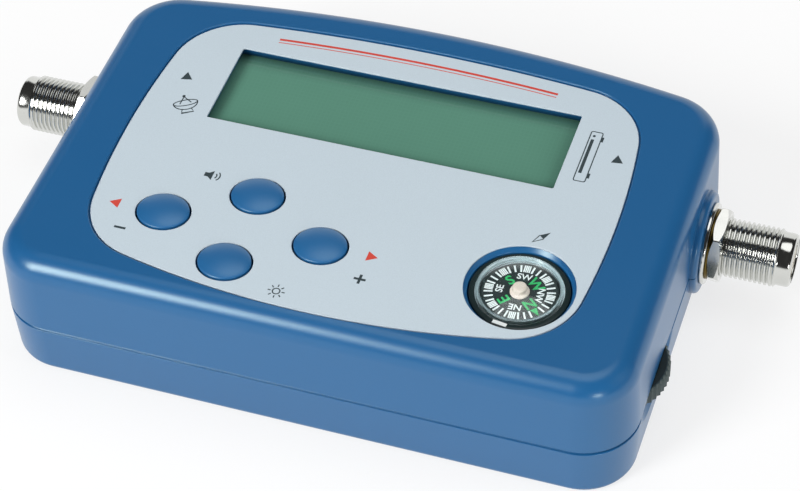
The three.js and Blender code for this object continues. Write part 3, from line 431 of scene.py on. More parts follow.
def rounded(profile, steps=4):
    """Rounds the corners of an open profile; each point is (r, z) or (r, z, rounding length)."""
    points = []
    for i, point in enumerate(profile):
        here = Vector(point[:2])
        if len(point) < 3 or not 0 < i < len(profile) - 1:
            points.append(tuple(here))
            continue
        before, after = Vector(profile[i - 1][:2]), Vector(profile[i + 1][:2])
        start = here + (before - here).normalized() * point[2]
        end = here + (after - here).normalized() * point[2]
        for t in spread(0, 1, steps):
            curve = start * (1 - t) ** 2 + here * 2 * t * (1 - t) + end * t ** 2
            points.append(tuple(curve))
    return points


def quarter(radius, steps):
    """Steps over a rolled edge, each as its distances from the edge's two tangents, (inwards, down)."""
    return [(radius * (1 - cos(angle)), radius * (1 - sin(angle))) for angle in spread(0, pi / 2, steps)]


def bar(radius, low, high):
    """Profile of a plain round bar."""
    return [(0, low), (radius, low), (radius, high), (0, high)]


# Meshes


def placed(name, data):
    """New object for a mesh, a text, a lamp or a camera, linked to the scene."""
    made = bpy.data.objects.new(name, data)
    bpy.context.scene.collection.objects.link(made)
    return made


def piece_from(name, points, faces):
    """Object from points and faces."""
    mesh = bpy.data.meshes.new(name)
    mesh.from_pydata([tuple(point) for point in points], [], faces)
    mesh.update()
    return placed(name, mesh)


def skin(name, rows, closed=False):
    """Solid over rows of points; a row of one point is a pole, and closed joins the last row to the first."""
    points, starts = [], []
    for row in rows:
        starts.append(len(points))
        points += row
    faces = []
    pairs = list(zip(range(len(rows)), range(1, len(rows))))
    if closed:
        pairs.append((len(rows) - 1, 0))
    for low, high in pairs:
        a, b = len(rows[low]), len(rows[high])
        for i in range(max(a, b)):
            j = (i + 1) % max(a, b)
            face = [starts[low] + i % a, starts[low] + j % a, starts[high] + j % b, starts[high] + i % b]
            faces.append(list(dict.fromkeys(face)))
    if not closed:
        if len(rows[0]) > 1:
            faces.append(list(reversed(range(starts[0], starts[0] + len(rows[0])))))
        if len(rows[-1]) > 1:
            faces.append(list(range(starts[-1], starts[-1] + len(rows[-1]))))
    return piece_from(name, points, faces)


def loft(name, levels):
    """Solid over a stack of (outline, height), all with the same number of points."""
    return skin(name, [[(x, y, z) for x, y in outline] for outline, z in levels])


def prism(name, outline, low, high):
    """Straight solid over an outline between two heights."""
    return loft(name, [(outline, low), (outline, high)])


def lathe(name, profile, x=0.0, y=0.0, steps=ROUND_STEPS):
    """Revolved solid about an upright axis; a profile that ends where it starts makes a ring."""
    closed = hypot(profile[0][0] - profile[-1][0], profile[0][1] - profile[-1][1]) < SAME_PLACE
    rows = []
    for radius, z in profile[:-1] if closed else profile:
        if radius < ON_AXIS:
            rows.append([(x, y, z)])
        else:
            rows.append([(px, py, z) for px, py in circle(x, y, radius, steps)])
    return skin(name, rows, closed)


def key_form(name, profile, key):
    """Revolved solid narrowed to the oval of the keys, in the place of one of them."""
    place = Matrix.Translation((*middle(f"key_{key}"), 0)) @ Matrix.Diagonal((1, settings("keys").oval, 1, 1))
    return lay(lathe(name, profile, steps=KEY_STEPS), place)


def box_solid(name, low, high):
    """Block between two corners, used to cut or to keep a region."""
    outline = [(low[0], low[1]), (high[0], low[1]), (high[0], high[1]), (low[0], high[1])]
    return prism(name, outline, low[2], high[2])


def outward(made):
    """Turns the faces of a closed mesh to the outside."""
    mesh = bmesh.new()
    mesh.from_mesh(made.data)
    bmesh.ops.remove_doubles(mesh, verts=mesh.verts, dist=WELD_SOLID)
    bmesh.ops.recalc_face_normals(mesh, faces=mesh.faces)
    mesh.to_mesh(made.data)
    mesh.free()
    return made


def carve(target, cutters, operation="DIFFERENCE"):
    """Cuts, joins or intersects a solid with others, which are used up."""
    for cutter in [target, *cutters]:
        outward(cutter)
    for cutter in cutters:
        step = target.modifiers.new(cutter.name, "BOOLEAN")
        step.solver = "MANIFOLD"
        step.operation = operation
        step.object = cutter
    bpy.context.view_layer.update()
    graph = bpy.context.evaluated_depsgraph_get()
    result = bpy.data.meshes.new_from_object(target.evaluated_get(graph))
    if not result.polygons:
        raise RuntimeError(f"nothing is left of {target.name}")
    target.modifiers.clear()
    target.data = result
    for cutter in cutters:
        bpy.data.objects.remove(cutter)
    return target


def node_copy(node):
    """Welded copy of a node's solid, for joining with finer pieces."""
    mesh = bmesh.new()
    mesh.from_mesh(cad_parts[node].data)
    bmesh.ops.remove_doubles(mesh, verts=mesh.verts, dist=WELD_COPY)
    copy = bpy.data.meshes.new(f"{node}_copy")
    mesh.to_mesh(copy)
    mesh.free()
    return placed(copy.name, copy)


def toward(side, node):
    """Matrix that lays an upright solid onto the axis of a socket, its top to the outside."""
    low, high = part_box(node)
    place = Vector((0, (low.y + high.y) / 2, (low.z + high.z) / 2))
    return Matrix.Translation(place) @ Matrix.Rotation(side * pi / 2, 4, "Y")


def lay(made, matrix):
    """Moves a piece's points by a matrix and leaves its object at the origin."""
    made.data.transform(matrix)
    return made


def dress(made, finish, body, *nodes, slot=None, angle=30):
    """Shades, paints and carries a piece, which may stand for nodes."""
    made.data.materials.clear()
    made.data.materials.append(finish)
    for face in made.data.polygons:
        face.use_smooth = True
    made.data.set_sharp_from_angle(angle=radians(angle))
    smooth = made.modifiers.new("smooth", "WEIGHTED_NORMAL")
    smooth.keep_sharp = True
    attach(made, body)
    if nodes:
        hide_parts(*nodes)
    return made


# Prints, as thin solids of ink


def stroke(points, width, closed=False):
    """Faces of a line of even width through points."""
    count = len(points)
    rails = []
    for i, (x, y) in enumerate(points):
        before = points[(i - 1) % count] if closed or i else points[i]
        after = points[(i + 1) % count] if closed or i + 1 < count else points[i]
        run = Vector((after[0] - before[0], after[1] - before[1])).normalized()
        entry = Vector((x - before[0], y - before[1]))
        share = max(LEAST_MITRE, run.dot(entry.normalized())) if entry.length and (closed or 0 < i < count - 1) else 1
        across = Vector((-run.y, run.x)) * (width / 2 / share)
        rails.append(((x + across.x, y + across.y), (x - across.x, y - across.y)))
    spans = range(count if closed else count - 1)
    return [[rails[i][1], rails[(i + 1) % count][1], rails[(i + 1) % count][0], rails[i][0]] for i in spans]


def printed(name, faces, height, thickness, finish, body):
    """Ink over flat faces, each a list of (x, y), at a height."""
    mesh = bmesh.new()
    for face in faces:
        mesh.faces.new([mesh.verts.new((x, y, height)) for x, y in face])
    bmesh.ops.remove_doubles(mesh, verts=mesh.verts, dist=WELD_PRINT)
    bmesh.ops.recalc_face_normals(mesh, faces=mesh.faces)
    for face in mesh.faces:
        if face.normal.z < 0:
            face.normal_flip()
    raised = bmesh.ops.extrude_face_region(mesh, geom=list(mesh.faces), use_keep_orig=True)
    lifted = [item for item in raised["geom"] if isinstance(item, bmesh.types.BMVert)]
    bmesh.ops.translate(mesh, verts=lifted, vec=(0, 0, thickness))
    bmesh.ops.recalc_face_normals(mesh, faces=mesh.faces)
    data = bpy.data.meshes.new(name)
    mesh.to_mesh(data)
    mesh.free()
    made = placed(name, data)
    made.data.materials.append(finish)
    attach(made, body)
    return made


def moved(faces, x=0.0, y=0.0, turn=0.0, scale=1.0):
    """The same faces scaled, turned and then moved."""
    c, s = cos(turn) * scale, sin(turn) * scale
    return [[(x + c * px - s * py, y + s * px + c * py) for px, py in face] for face in faces]


def letters(text, height):
    """Faces of a line of text about its own middle, with capitals of about that height."""
    curve = bpy.data.curves.new("letters", "FONT")
    curve.body = text
    curve.align_x = curve.align_y = "CENTER"
    curve.size = 1
    curve.offset = LETTER_WEIGHT
    curve.resolution_u = 4
    made = placed("letters", curve)
    bpy.context.view_layer.update()
    graph = bpy.context.evaluated_depsgraph_get()
    mesh = bpy.data.meshes.new_from_object(made.evaluated_get(graph))
    points = [(vertex.co.x, vertex.co.y) for vertex in mesh.vertices]
    low, high = min(y for _, y in points), max(y for _, y in points)
    mid_x = (min(x for x, _ in points) + max(x for x, _ in points)) / 2
    scale = height / (high - low)
    faces = [
        [((points[i][0] - mid_x) * scale, (points[i][1] - (low + high) / 2) * scale) for i in face.vertices]
        for face in mesh.polygons
    ]
    bpy.data.objects.remove(made)
    bpy.data.curves.remove(curve)
    bpy.data.meshes.remove(mesh)
    return faces


# Materials


def add(tree, kind, inputs=None, **values):
    """Adds a node, sets its values and feeds its inputs with numbers or with other sockets."""
    made = tree.nodes.new(kind)
    for key, value in values.items():
        setattr(made, key, value)
    for key, value in (inputs or {}).items():
        if isinstance(value, bpy.types.NodeSocket):
            tree.links.new(value, made.inputs[key])
        else:
            made.inputs[key].default_value = value
    return made


def maths(tree, operation, *values):
    """Result of a maths node."""
    return add(tree, "ShaderNodeMath", dict(enumerate(values)), operation=operation).outputs[0]


def vector(tree, operation, *values):
    """Result of a vector maths node, which is a number where it measures a length."""
    made = add(tree, "ShaderNodeVectorMath", dict(enumerate(values)), operation=operation).outputs
    return made["Value"] if operation == "LENGTH" else made[0]


def scaled(tree, colour, share):
    """A colour times a number."""
    return add(tree, "ShaderNodeVectorMath", {0: colour, "Scale": share}, operation="SCALE").outputs[0]


def ramp(tree, value, start, end, low, high, **values):
    """A value taken from the range start to end onto the range low to high."""
    limits = {"Value": value, "From Min": start, "From Max": end, "To Min": low, "To Max": high}
    return add(tree, "ShaderNodeMapRange", limits, **values).outputs[0]


def noise(tree, place, scale, detail, roughness, **inputs):
    """Value of a noise texture."""
    given = {"Vector": place, "Scale": scale, "Detail": detail, "Roughness": roughness, **inputs}
    return add(tree, "ShaderNodeTexNoise", given).outputs["Fac"]


def swayed(tree, value, change, base):
    """A base that a texture moves up and down by a share of its departure from one half."""
    return maths(tree, "MULTIPLY_ADD", maths(tree, "SUBTRACT", value, 0.5), change, base)


def object_place(tree):
    """Socket of the place on the object, in metres."""
    return add(tree, "ShaderNodeTexCoord").outputs["Object"]


def effect(name, inputs, outputs):
    """Empty node group with named sockets, its input node and its output node."""
    tree = bpy.data.node_groups.new(name, "ShaderNodeTree")
    for label, kind, value in inputs:
        socket = tree.interface.new_socket(label, in_out="INPUT", socket_type=f"NodeSocket{kind}")
        socket.default_value = value
    for label, kind in outputs:
        tree.interface.new_socket(label, in_out="OUTPUT", socket_type=f"NodeSocket{kind}")
    return tree, tree.nodes.new("NodeGroupInput").outputs, tree.nodes.new("NodeGroupOutput").inputs


def moulded_grain():
    """Group: the fine texture of a moulded surface and its slow change of tone."""
    tree, given, made = effect(
        "Moulded grain",
        [("Colour", "Color", (0.5, 0.5, 0.5, 1)), ("Tone change", "Float", 0.06), ("Grain size", "Float", 0.0003)],
        [("Colour", "Color"), ("Height", "Float"), ("Tone", "Float")],
    )
    place = object_place(tree)
    per_metre = maths(tree, "DIVIDE", 1.0, given["Grain size"])
    cells = add(
        tree, "ShaderNodeTexVoronoi", {"Vector": place, "Scale": per_metre, "Randomness": 1.0}, feature="SMOOTH_F1"
    )
    height = maths(tree, "ADD", cells.outputs["Distance"], noise(tree, place, per_metre, 3.0, 0.6))
    slow = noise(tree, place, 60.0, 4.0, 0.55)
    shade = scaled(tree, given["Colour"], swayed(tree, slow, given["Tone change"], 1.0))
    tree.links.new(shade, made["Colour"])
    tree.links.new(height, made["Height"])
    tree.links.new(slow, made["Tone"])
    return tree


def handling():
    """Group: roughness that changes softly where a surface has been touched and wiped."""
    tree, given, made = effect(
        "Handling",
        [("Roughness", "Float", 0.4), ("Change", "Float", 0.1), ("Size", "Float", 0.012)],
        [("Roughness", "Float")],
    )
    wiped = add(tree, "ShaderNodeMapping", {"Vector": object_place(tree), "Scale": (1.0, 2.4, 1.6)}).outputs[0]
    smear = noise(tree, wiped, maths(tree, "DIVIDE", 1.0, given["Size"]), 5.0, 0.62, Distortion=0.4)
    tree.links.new(swayed(tree, smear, given["Change"], given["Roughness"]), made["Roughness"])
    return tree


def turned_lines():
    """Group: the fine rings that a cutting tool leaves about an axis."""
    tree, given, made = effect(
        "Turned lines",
        [("Centre", "Vector", (0, 0, 0)), ("Across", "Vector", (0, 1, 1)), ("Spacing", "Float", 0.00008)],
        [("Height", "Float")],
    )
    away = vector(tree, "SUBTRACT", object_place(tree), given["Centre"])
    radius = vector(tree, "LENGTH", vector(tree, "MULTIPLY", away, given["Across"]))
    both = maths(tree, "ADD", radius, vector(tree, "LENGTH", away))
    count = maths(tree, "DIVIDE", both, given["Spacing"])
    rings = add(tree, "ShaderNodeTexNoise", {"W": count, "Scale": 1.0, "Detail": 2.0}, noise_dimensions="1D")
    tree.links.new(rings.outputs["Fac"], made["Height"])
    return tree


def group(tree, build, inputs):
    """Outputs of one of the shared groups, which is built once under its function's name."""
    name = build.__name__.replace("_", " ").capitalize()
    return add(tree, "ShaderNodeGroup", inputs, node_tree=bpy.data.node_groups.get(name) or build()).outputs


def blank(name, roughness=0.4, metallic=0.0, **inputs):
    """New material with a bare shader; returns the material, its tree and the shader."""
    made = bpy.data.materials.new(name)
    made.use_nodes = True
    tree = made.node_tree
    shader = next(item for item in tree.nodes if item.type == "BSDF_PRINCIPLED")
    shader.inputs["Roughness"].default_value = roughness
    shader.inputs["Metallic"].default_value = metallic
    for key, value in inputs.items():
        shader.inputs[key.replace("_", " ")].default_value = value
    return made, tree, shader


def surfaced(name, colour, roughness, grain, tone, smear, smear_size, **inputs):
    """Material fed by the shared groups; returns it, its tree, its shader and the outputs of its grain."""
    made, tree, shader = blank(name, roughness, **inputs)
    surface = group(tree, moulded_grain, {"Colour": (*colour, 1), "Tone change": tone, "Grain size": grain})
    touch = group(tree, handling, {"Roughness": roughness, "Change": smear, "Size": smear_size})
    tree.links.new(surface["Colour"], shader.inputs["Base Color"])
    tree.links.new(touch["Roughness"], shader.inputs["Roughness"])
    return made, tree, shader, surface


def raised(tree, shader, height, depth, strength=1.0):
    """Feeds the shader's normal from a height, whose depth is given in millimetres."""
    bump = add(tree, "ShaderNodeBump", {"Height": height, "Strength": strength, "Distance": depth * MM})
    tree.links.new(bump.outputs[0], shader.inputs["Normal"])


def plastic(name, colour, roughness, grain=0.0003, depth=0.012, tone=0.08, smear=0.1, smear_size=0.012, **inputs):
    """Moulded plastic with grain, slow tone and handling marks; depth is the grain's height in millimetres."""
    known = bpy.data.materials.get(name)
    if known:
        return known
    made, tree, shader, surface = surfaced(name, colour, roughness, grain, tone, smear, smear_size, **inputs)
    raised(tree, shader, surface["Height"], depth)
    return made


def metal(name, colour, roughness, centre=(0, 0, 0), across=(0, 1, 1), spacing=0.00008, depth=0.0015):
    """Metal with turned lines about an axis and slight marks of handling."""
    known = bpy.data.materials.get(name)
    if known:
        return known
    made, tree, shader, _ = surfaced(name, colour, roughness, 0.0002, 0.08, 0.12, 0.004, metallic=1.0)
    lines = group(tree, turned_lines, {"Centre": centre, "Across": across, "Spacing": spacing})
    raised(tree, shader, lines["Height"], depth)
    return made


def ink(name, colour):
    """Screen-printed ink with a fine uneven edge to its tone."""
    return plastic(name, colour, 0.45, grain=0.00012, depth=0.004, tone=0.16, smear=0.08, smear_size=0.004)


def label_film(colour):
    """Silver grey film of the label, with a fine metallic fleck."""
    made, tree, shader, surface = surfaced(
        "Label film", colour, 0.42, 0.00018, 0.03, 0.12, 0.016, Specular_IOR_Level=0.5
    )
    cubes = vector(tree, "SNAP", object_place(tree), (FLECK, FLECK, FLECK))
    fleck = add(tree, "ShaderNodeTexWhiteNoise", {"Vector": cubes}, noise_dimensions="3D").outputs["Value"]
    bright = scaled(tree, surface["Colour"], ramp(tree, fleck, 0.0, 1.0, 0.965, 1.035))
    tree.links.new(bright, shader.inputs["Base Color"])
    raised(tree, shader, surface["Height"], 0.003)
    return made


def display_glass(colour):
    """Resting display: grey-green glass with faint cells for its characters, and painted shade that darkens it towards
    its rim and most along its back edge, where the walls of the window shade it.
    """
    made, tree, shader, surface = surfaced(
        "Display glass", colour, 0.2, 0.0004, 0.1, 0.08, 0.02, Coat_Weight=0.35, Coat_Roughness=0.05
    )
    low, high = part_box("display_front_glass")
    half_x, half_y, _ = window_half()
    place = vector(tree, "SUBTRACT", object_place(tree), tuple((low + high) / 2))
    cells = add(
        tree, "ShaderNodeTexBrick",
        {
            "Vector": place, "Color1": WHITE, "Color2": (0.985, 0.985, 0.985, 1),
            "Mortar": (1.03, 1.03, 1.03, 1), "Scale": 1.0, "Mortar Size": 0.00011, "Mortar Smooth": 0.3,
            "Brick Width": 0.00072, "Row Height": 0.00078,
        },
        offset=0.0,
    )
    sides = add(tree, "ShaderNodeSeparateXYZ", {0: vector(tree, "ABSOLUTE", place)}).outputs
    back = add(tree, "ShaderNodeSeparateXYZ", {0: place}).outputs["Y"]
    # Painted shade: the colour darkens within a few millimetres of each side of the window and most along the back
    # edge, where the window's walls shade the glass.
    edge = 1.0
    for axis, limit, reach, darkest in (
        (sides["Y"], half_y, 2.6 * MM, 0.8), (sides["X"], half_x, 2.6 * MM, 0.8), (back, half_y, 3.2 * MM, 0.72),
    ):
        shade = ramp(tree, axis, limit - reach, limit, 1.0, darkest, interpolation_type="SMOOTHSTEP")
        edge = maths(tree, "MULTIPLY", edge, shade)
    tinted = vector(tree, "MULTIPLY", surface["Colour"], cells.outputs["Color"])
    tree.links.new(scaled(tree, tinted, edge), shader.inputs["Base Color"])
    return made


def clear_lens(colour):
    """Clear moulded plastic with a very slight waviness."""
    made, tree, shader, surface = surfaced(
        "Clear lens", colour, 0.03, 0.004, 0.02, 0.03, 0.006, Transmission_Weight=1.0, IOR=1.45
    )
    raised(tree, shader, surface["Tone"], 0.01, 0.2)
    return made


def two_tone_plastic(name, inside, outside, node, radius, roughness):
    """Plastic of one tone within a radius about a node's upright axis and of another beyond it."""
    made, tree, shader, surface = surfaced(name, outside, roughness, 0.0003, 0.15, 0.1, 0.005)
    away = vector(tree, "SUBTRACT", object_place(tree), (*middle(node), 0))
    reach = vector(tree, "LENGTH", vector(tree, "MULTIPLY", away, (1, 1, 0)))
    within = maths(tree, "LESS_THAN", reach, radius)
    colour = add(tree, "ShaderNodeMix", {0: within, 6: (*outside, 1), 7: (*inside, 1)}, data_type="RGBA")
    tree.links.new(colour.outputs[2], surface["Colour"].node.inputs["Colour"])
    raised(tree, shader, surface["Height"], 0.004)
    return made


def lacquered_board(colour):
    """Green lacquer over copper tracks, which show as slightly raised paler lines."""
    made, tree, shader, surface = surfaced("Lacquered board", colour, 0.35, 0.0005, 0.12, 0.15, 0.008)
    tracks = add(
        tree, "ShaderNodeTexBrick",
        {
            "Vector": object_place(tree), "Color1": (0, 0, 0, 1), "Color2": (0.25, 0.25, 0.25, 1),
            "Mortar": WHITE, "Scale": 1.0, "Mortar Size": 0.00016, "Mortar Smooth": 0.1,
            "Brick Width": 0.0063, "Row Height": 0.0013, "Bias": -0.4,
        },
        offset=0.37,
    ).outputs["Color"]
    paler = scaled(tree, surface["Colour"], ramp(tree, tracks, 0.0, 1.0, 1.0, 1.7))
    tree.links.new(paler, shader.inputs["Base Color"])
    raised(tree, shader, tracks, 0.035, 0.8)
    return made


def blue_plastic():
    """Satin blue of the covers."""
    return plastic(
        "Satin blue", settings("finishes").case, 0.29, depth=0.003, tone=0.05, smear=0.05, smear_size=0.03,
        Specular_IOR_Level=0.7, Specular_Tint=SATIN_TINT
    )


def black_plastic():
    """Dark plastic of the plungers, the frame, the sounder and the potentiometer."""
    return plastic("Black plastic", settings("finishes").black, 0.42, depth=0.008, tone=0.2, smear=0.16)


def cream_plastic():
    """Pale plastic of the potentiometer's rotor."""
    return plastic("Pale plastic", settings("finishes").cream, 0.38, depth=0.006, tone=0.08)


def steel():
    """Bright steel of the small parts."""
    return metal("Steel", settings("finishes").steel, 0.3, across=(1, 1, 0), spacing=0.00015)


def tinned_steel():
    """Tinned sheet of the shield and the switches."""
    return metal("Tinned steel", settings("finishes").tin, 0.36, across=(1, 0.3, 0), spacing=0.0003, depth=0.004)


def socket_metal(name, finish, roughness, depth=0.0015):
    """Metal with rings about the axis of the sockets."""
    low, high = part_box("receiver_socket_barrel")
    centre = (0, (low.y + high.y) / 2, (low.z + high.z) / 2)
    return metal(name, finish, roughness, centre=centre, depth=depth)


def paint(finish, *nodes):
    """Gives nodes of the frame a new material."""
    for node in nodes:
        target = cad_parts[node]
        if not target.material_slots:
            target.data.materials.append(finish)
        for holder in target.material_slots:
            holder.material = finish


# Pieces


def hollow_cut(depth):
    """Cutter for the finger hollow: a flat-bottomed dish let into the end wall."""
    case = settings("case")
    y = middle("thumbwheel")[1] - case.hollow_forward
    z, deepest = bottom("upper_cover"), case.length / 2 - depth
    flat, steepness = 0.45, 1.3
    rows = [[(deepest, y, z)]]
    for share in [*spread(0, 1, 20)[1:], 1]:
        away = share * case.hollow_length
        x = deepest + depth * max(0, (share - flat) / (1 - flat)) ** steepness
        rows.append([(x, y + away * c, z + share * case.hollow_height * s) for c, s in circle(0, 0, 1)])
    rows[-1] = [(case.length / 2 + OVERRUN, py, pz) for _, py, pz in rows[-1]]
    return skin("finger_hollow", rows)


def boss(name, side):
    """Round boss on an end wall, with a rolled edge and a fillet at its root."""
    case = settings("case")
    face, wall = top_of("upper_cover").x, case.length / 2
    back = wall - case.wall + case.lip
    profile = rounded([
        (0, back), (case.boss_radius + case.boss_root, back), (case.boss_radius + case.boss_root, wall - case.draft),
        (case.boss_radius, wall - case.draft, case.boss_root), (case.boss_radius, face, case.boss_edge), (0, face),
    ], steps=8)
    return lay(lathe(name, profile), toward(side, f"{'dish' if side < 0 else 'receiver'}_socket_barrel"))


def half_bosses(upper):
    """The halves of the two bosses that belong to the upper or the lower cover."""
    seam = bottom("upper_cover") if upper else top_of_lower()
    reach = 2 * settings("case").length
    low, high = (seam, reach) if upper else (-reach, seam)
    halves = []
    for side in SOCKETS.values():
        keep = box_solid("keep", (-reach, -reach, low), (reach, reach, high))
        halves.append(carve(boss("boss", side), [keep], "INTERSECT"))
    return halves


def top_of_lower():
    """Height of the lower cover's rim, just under the seam."""
    return bottom("upper_cover") - SEAM_GAP


def inside_of(node, low, high):
    """Packed inside of a cover between two heights, reaching a little into the new wall."""
    kept = prism("kept", case_outline(settings("case").wall - OVERLAP), low, high)
    return carve(node_copy(node), [kept], "INTERSECT")


def socket_cuts():
    """Cutters for the holes that the sockets pass through."""
    case, socket = settings("case"), settings("sockets")
    hole = bar(socket.thread_radius + SOCKET_GAP, case.length / 2 - 2 * case.wall, case.length)
    return [lay(lathe("socket_hole", hole), toward(side, f"{name}_socket_barrel")) for name, side in SOCKETS.items()]


def screw_cuts():
    """Cutters for the sinks and the holes of the case screws."""
    wheel = settings("wheel")
    chamfer, end = 0.2 * MM, bottom("upper_cover") + OVERRUN
    cuts = []
    for node in CASE_SCREWS:
        head = bottom(node) + HEAD_REST
        profile = [
            (0, -OVERRUN), (wheel.screw_hole + chamfer, -OVERRUN), (wheel.screw_hole + chamfer, 0),
            (wheel.screw_hole, chamfer), (wheel.screw_hole, head), (wheel.shank_hole, head), (wheel.shank_hole, end),
            (0, end),
        ]
        cuts.append(lathe("screw_hole", profile, *middle(node), SMALL_STEPS))
    return cuts


class MakeUpperCover(bpy.types.Operator):
    """Makes the upper cover with its rolled edge, recess, window, holes and bosses"""

    bl_idname = "signal_meter.upper_cover"
    bl_label = "Upper cover"

    def execute(self, context):
        case, label, key, compass = (settings(name) for name in ("case", "label", "keys", "compass"))
        seam, roof = bottom("upper_cover"), top("upper_cover")
        ceiling = top("display_front_glass") + GLASS_GAP
        cover = loft("upper_cover_skin", [
            *[(case_outline(down), seam + inward) for inward, down in quarter(case.seam_round, EDGE_STEPS)],
            *[
                (case_outline(case.draft + inward), roof - down)
                for inward, down in quarter(case.top_fillet, FILLET_STEPS)
            ],
        ])
        hollow = [(case_outline(case.wall), seam - OVERRUN)]
        hollow += [
            (case_outline(case.wall + case.draft + inward), ceiling - down)
            for inward, down in quarter(case.top_fillet / 2, INNER_STEPS)
        ]
        rebate = case_outline(case.wall - case.lip - case.lip_clearance)
        rebate_top = seam + case.lip_height + case.lip_clearance
        carve(cover, [loft("hollow", hollow), prism("rebate", rebate, seam - OVERRUN, rebate_top)])
        carve(cover, [inside_of("upper_cover", 0, ceiling + OVERLAP), *half_bosses(True)], "UNION")

        floor, rim = roof - label.recess, case.mouth_round
        cuts = [loft("recess", [
            (label_outline(0), floor),
            *[(label_outline(-inward), roof - down) for inward, down in quarter(rim, EDGE_STEPS)],
            (label_outline(-rim), roof + OVERRUN),
        ])]
        half_x, half_y, y = window_half()
        half_x, half_y, chamfer = half_x + label.window_undercut, half_y + label.window_margin, 0.1 * MM
        window = rectangle(half_x, half_y, 0.25 * MM, 0, y)
        wide = rectangle(half_x + chamfer, half_y + chamfer, PANE_CORNER, 0, y)
        cuts.append(loft("window", [
            (window, ceiling - OVERRUN), (window, floor - chamfer), (wide, floor), (wide, floor + 2 * chamfer)
        ]))
        hole = bar(key.radius + key.clearance, ceiling - OVERRUN, roof)
        cuts += [key_form("key_hole", hole, name) for name in KEYS]
        well, well_edge = bottom("compass_capsule") - 0.05 * MM, 0.15 * MM
        bore = compass.capsule + compass.clearance
        mouth = rounded([
            (0, well), (bore, well), (bore, floor - compass.bevel, well_edge), (bore + compass.bevel, floor),
            (bore + compass.bevel, roof), (0, roof)
        ])
        cuts.append(lathe("well", mouth, *middle("compass_capsule")))
        pilot_radius, pilot_end = 1.45 * MM, 0.3 * MM
        for node in CASE_SCREWS:
            pilot = bar(pilot_radius, seam - OVERRUN, top(node) + pilot_end)
            cuts.append(lathe("pilot", pilot, *middle(node), PILOT_STEPS))
        carve(cover, [*cuts, *socket_cuts(), hollow_cut(case.hollow_upper)])
        dress(cover, blue_plastic(), "case", "upper_cover", slot="satin_blue")
        return {"FINISHED"}


class MakeLowerCover(bpy.types.Operator):
    """Makes the lower cover with its lip, seam groove, screw sinks and slot for the wheel"""

    bl_idname = "signal_meter.lower_cover"
    bl_label = "Lower cover"

    def execute(self, context):
        case, wheel = settings("case"), settings("wheel")
        rim, floor = top_of_lower(), 2 * MM
        ledge = rim - case.groove
        cover = loft("lower_cover_skin", [
            *[
                (case_outline(case.draft + inward), down)
                for inward, down in reversed(quarter(case.base_fillet, BASE_STEPS))
            ],
            *[(case_outline(inward), ledge - down) for inward, down in quarter(case.seam_round, EDGE_STEPS)],
            (case_outline(case.groove), ledge), (case_outline(case.groove), rim),
        ])
        lip_top = bottom("upper_cover") + case.lip_height
        carve(cover, [prism("lip", case_outline(case.wall - case.lip), rim - OVERRUN, lip_top)], "UNION")
        inner, drafted = case_outline(case.wall), case_outline(case.wall + case.draft)
        carve(cover, [loft("hollow", [(drafted, floor), (inner, rim), (inner, lip_top + OVERRUN)])])
        inside = inside_of("lower_cover", floor - OVERLAP, lip_top - 0.05 * MM)
        carve(cover, [inside, *half_bosses(False)], "UNION")
        foot = bottom("thumbwheel") - 0.3 * MM
        room = bar(half_size("thumbwheel", 0) + wheel.room, foot, lip_top + OVERRUN)
        slot = lathe("wheel_room", room, *middle("thumbwheel"))
        carve(cover, [slot, *screw_cuts(), *socket_cuts(), hollow_cut(case.hollow_lower)])
        dress(cover, blue_plastic(), "case", "lower_cover", slot="satin_blue")
        return {"FINISHED"}


class MakeLabel(bpy.types.Operator):
    """Makes the label plate with its window, its oval key holes and the compass hole"""

    bl_idname = "signal_meter.label"
    bl_label = "Label"

    def execute(self, context):
        label, key, compass = settings("label"), settings("keys"), settings("compass")
        low, high = bottom("front_label"), top("front_label")
        edge = quarter(label.edge_round, 3)
        levels = [(label_outline(label.clearance), low)]
        levels += [(label_outline(label.clearance + inward), high - down) for inward, down in edge]
        plate = loft("label_plate", levels)

        def mouth(radius):
            return [
                (0, low - OVERRUN), (radius, low - OVERRUN),
                *[(radius + outward_by, high - down) for outward_by, down in edge],
                (radius + label.edge_round, high + OVERRUN), (0, high + OVERRUN),
            ]

        cuts = [key_form("hole", mouth(key.radius + key.clearance), name) for name in KEYS]
        well = compass.capsule + compass.clearance + compass.bevel
        cuts.append(lathe("hole", mouth(well), *middle("compass_capsule")))
        half_x, half_y, y = window_half()
        pane = [(rectangle(half_x, half_y, PANE_CORNER, 0, y), low - OVERRUN)]
        pane += [
            (rectangle(half_x + out, half_y + out, PANE_CORNER + out, 0, y), high - down) for out, down in edge
        ]
        pane.append((pane[-1][0], high + OVERRUN))
        cuts.append(loft("pane", pane))
        carve(plate, cuts)
        dress(plate, label_film(settings("finishes").label), "case", "front_label", slot="label_silver")
        return {"FINISHED"}


def triangle(x, y, length, width, way):
    """Plain arrowhead that points along X."""
    tip, tail = x + way * length / 2, x - way * length / 2
    return [[(tip, y), (tail, y + way * width / 2), (tail, y - way * width / 2)]]


def dish_symbol(line):
    """Aerial dish on a foot, in millimetres about its middle."""
    bowl = [(1.9 * cos(a), 0.62 * sin(a) + 0.2) for a in spread(0, tau, 32)][:-1]
    back = [(1.9 * cos(a), 1.5 * sin(a) + 0.2) for a in spread(pi, tau, 20)]
    arm = [(-0.9, 0.1), (0.0, 1.6), (0.9, 0.1)]
    foot = [(-0.7, -1.15), (-0.95, -2.0), (0.95, -2.0), (0.7, -1.15)]
    return [
        *stroke(bowl, line, True), *stroke(back, line), *stroke(arm, line), *stroke(foot, line),
        circle(0, 1.72, 0.26, 12),
    ]


def receiver_symbol(line):
    """Slim set-top box with a tray and two feet, in millimetres about its middle, its length along Y."""
    tray = rectangle(0.26, 3.9, 0.08, -0.35, 0.0)
    feet = [rectangle(0.16, 0.55, 0, 1.2, y) for y in (-4.2, 4.2)]
    return [*stroke(rectangle(0.95, 5.7, 0.3), line, True), tray, *feet, circle(-0.3, 4.7, 0.24, 12)]


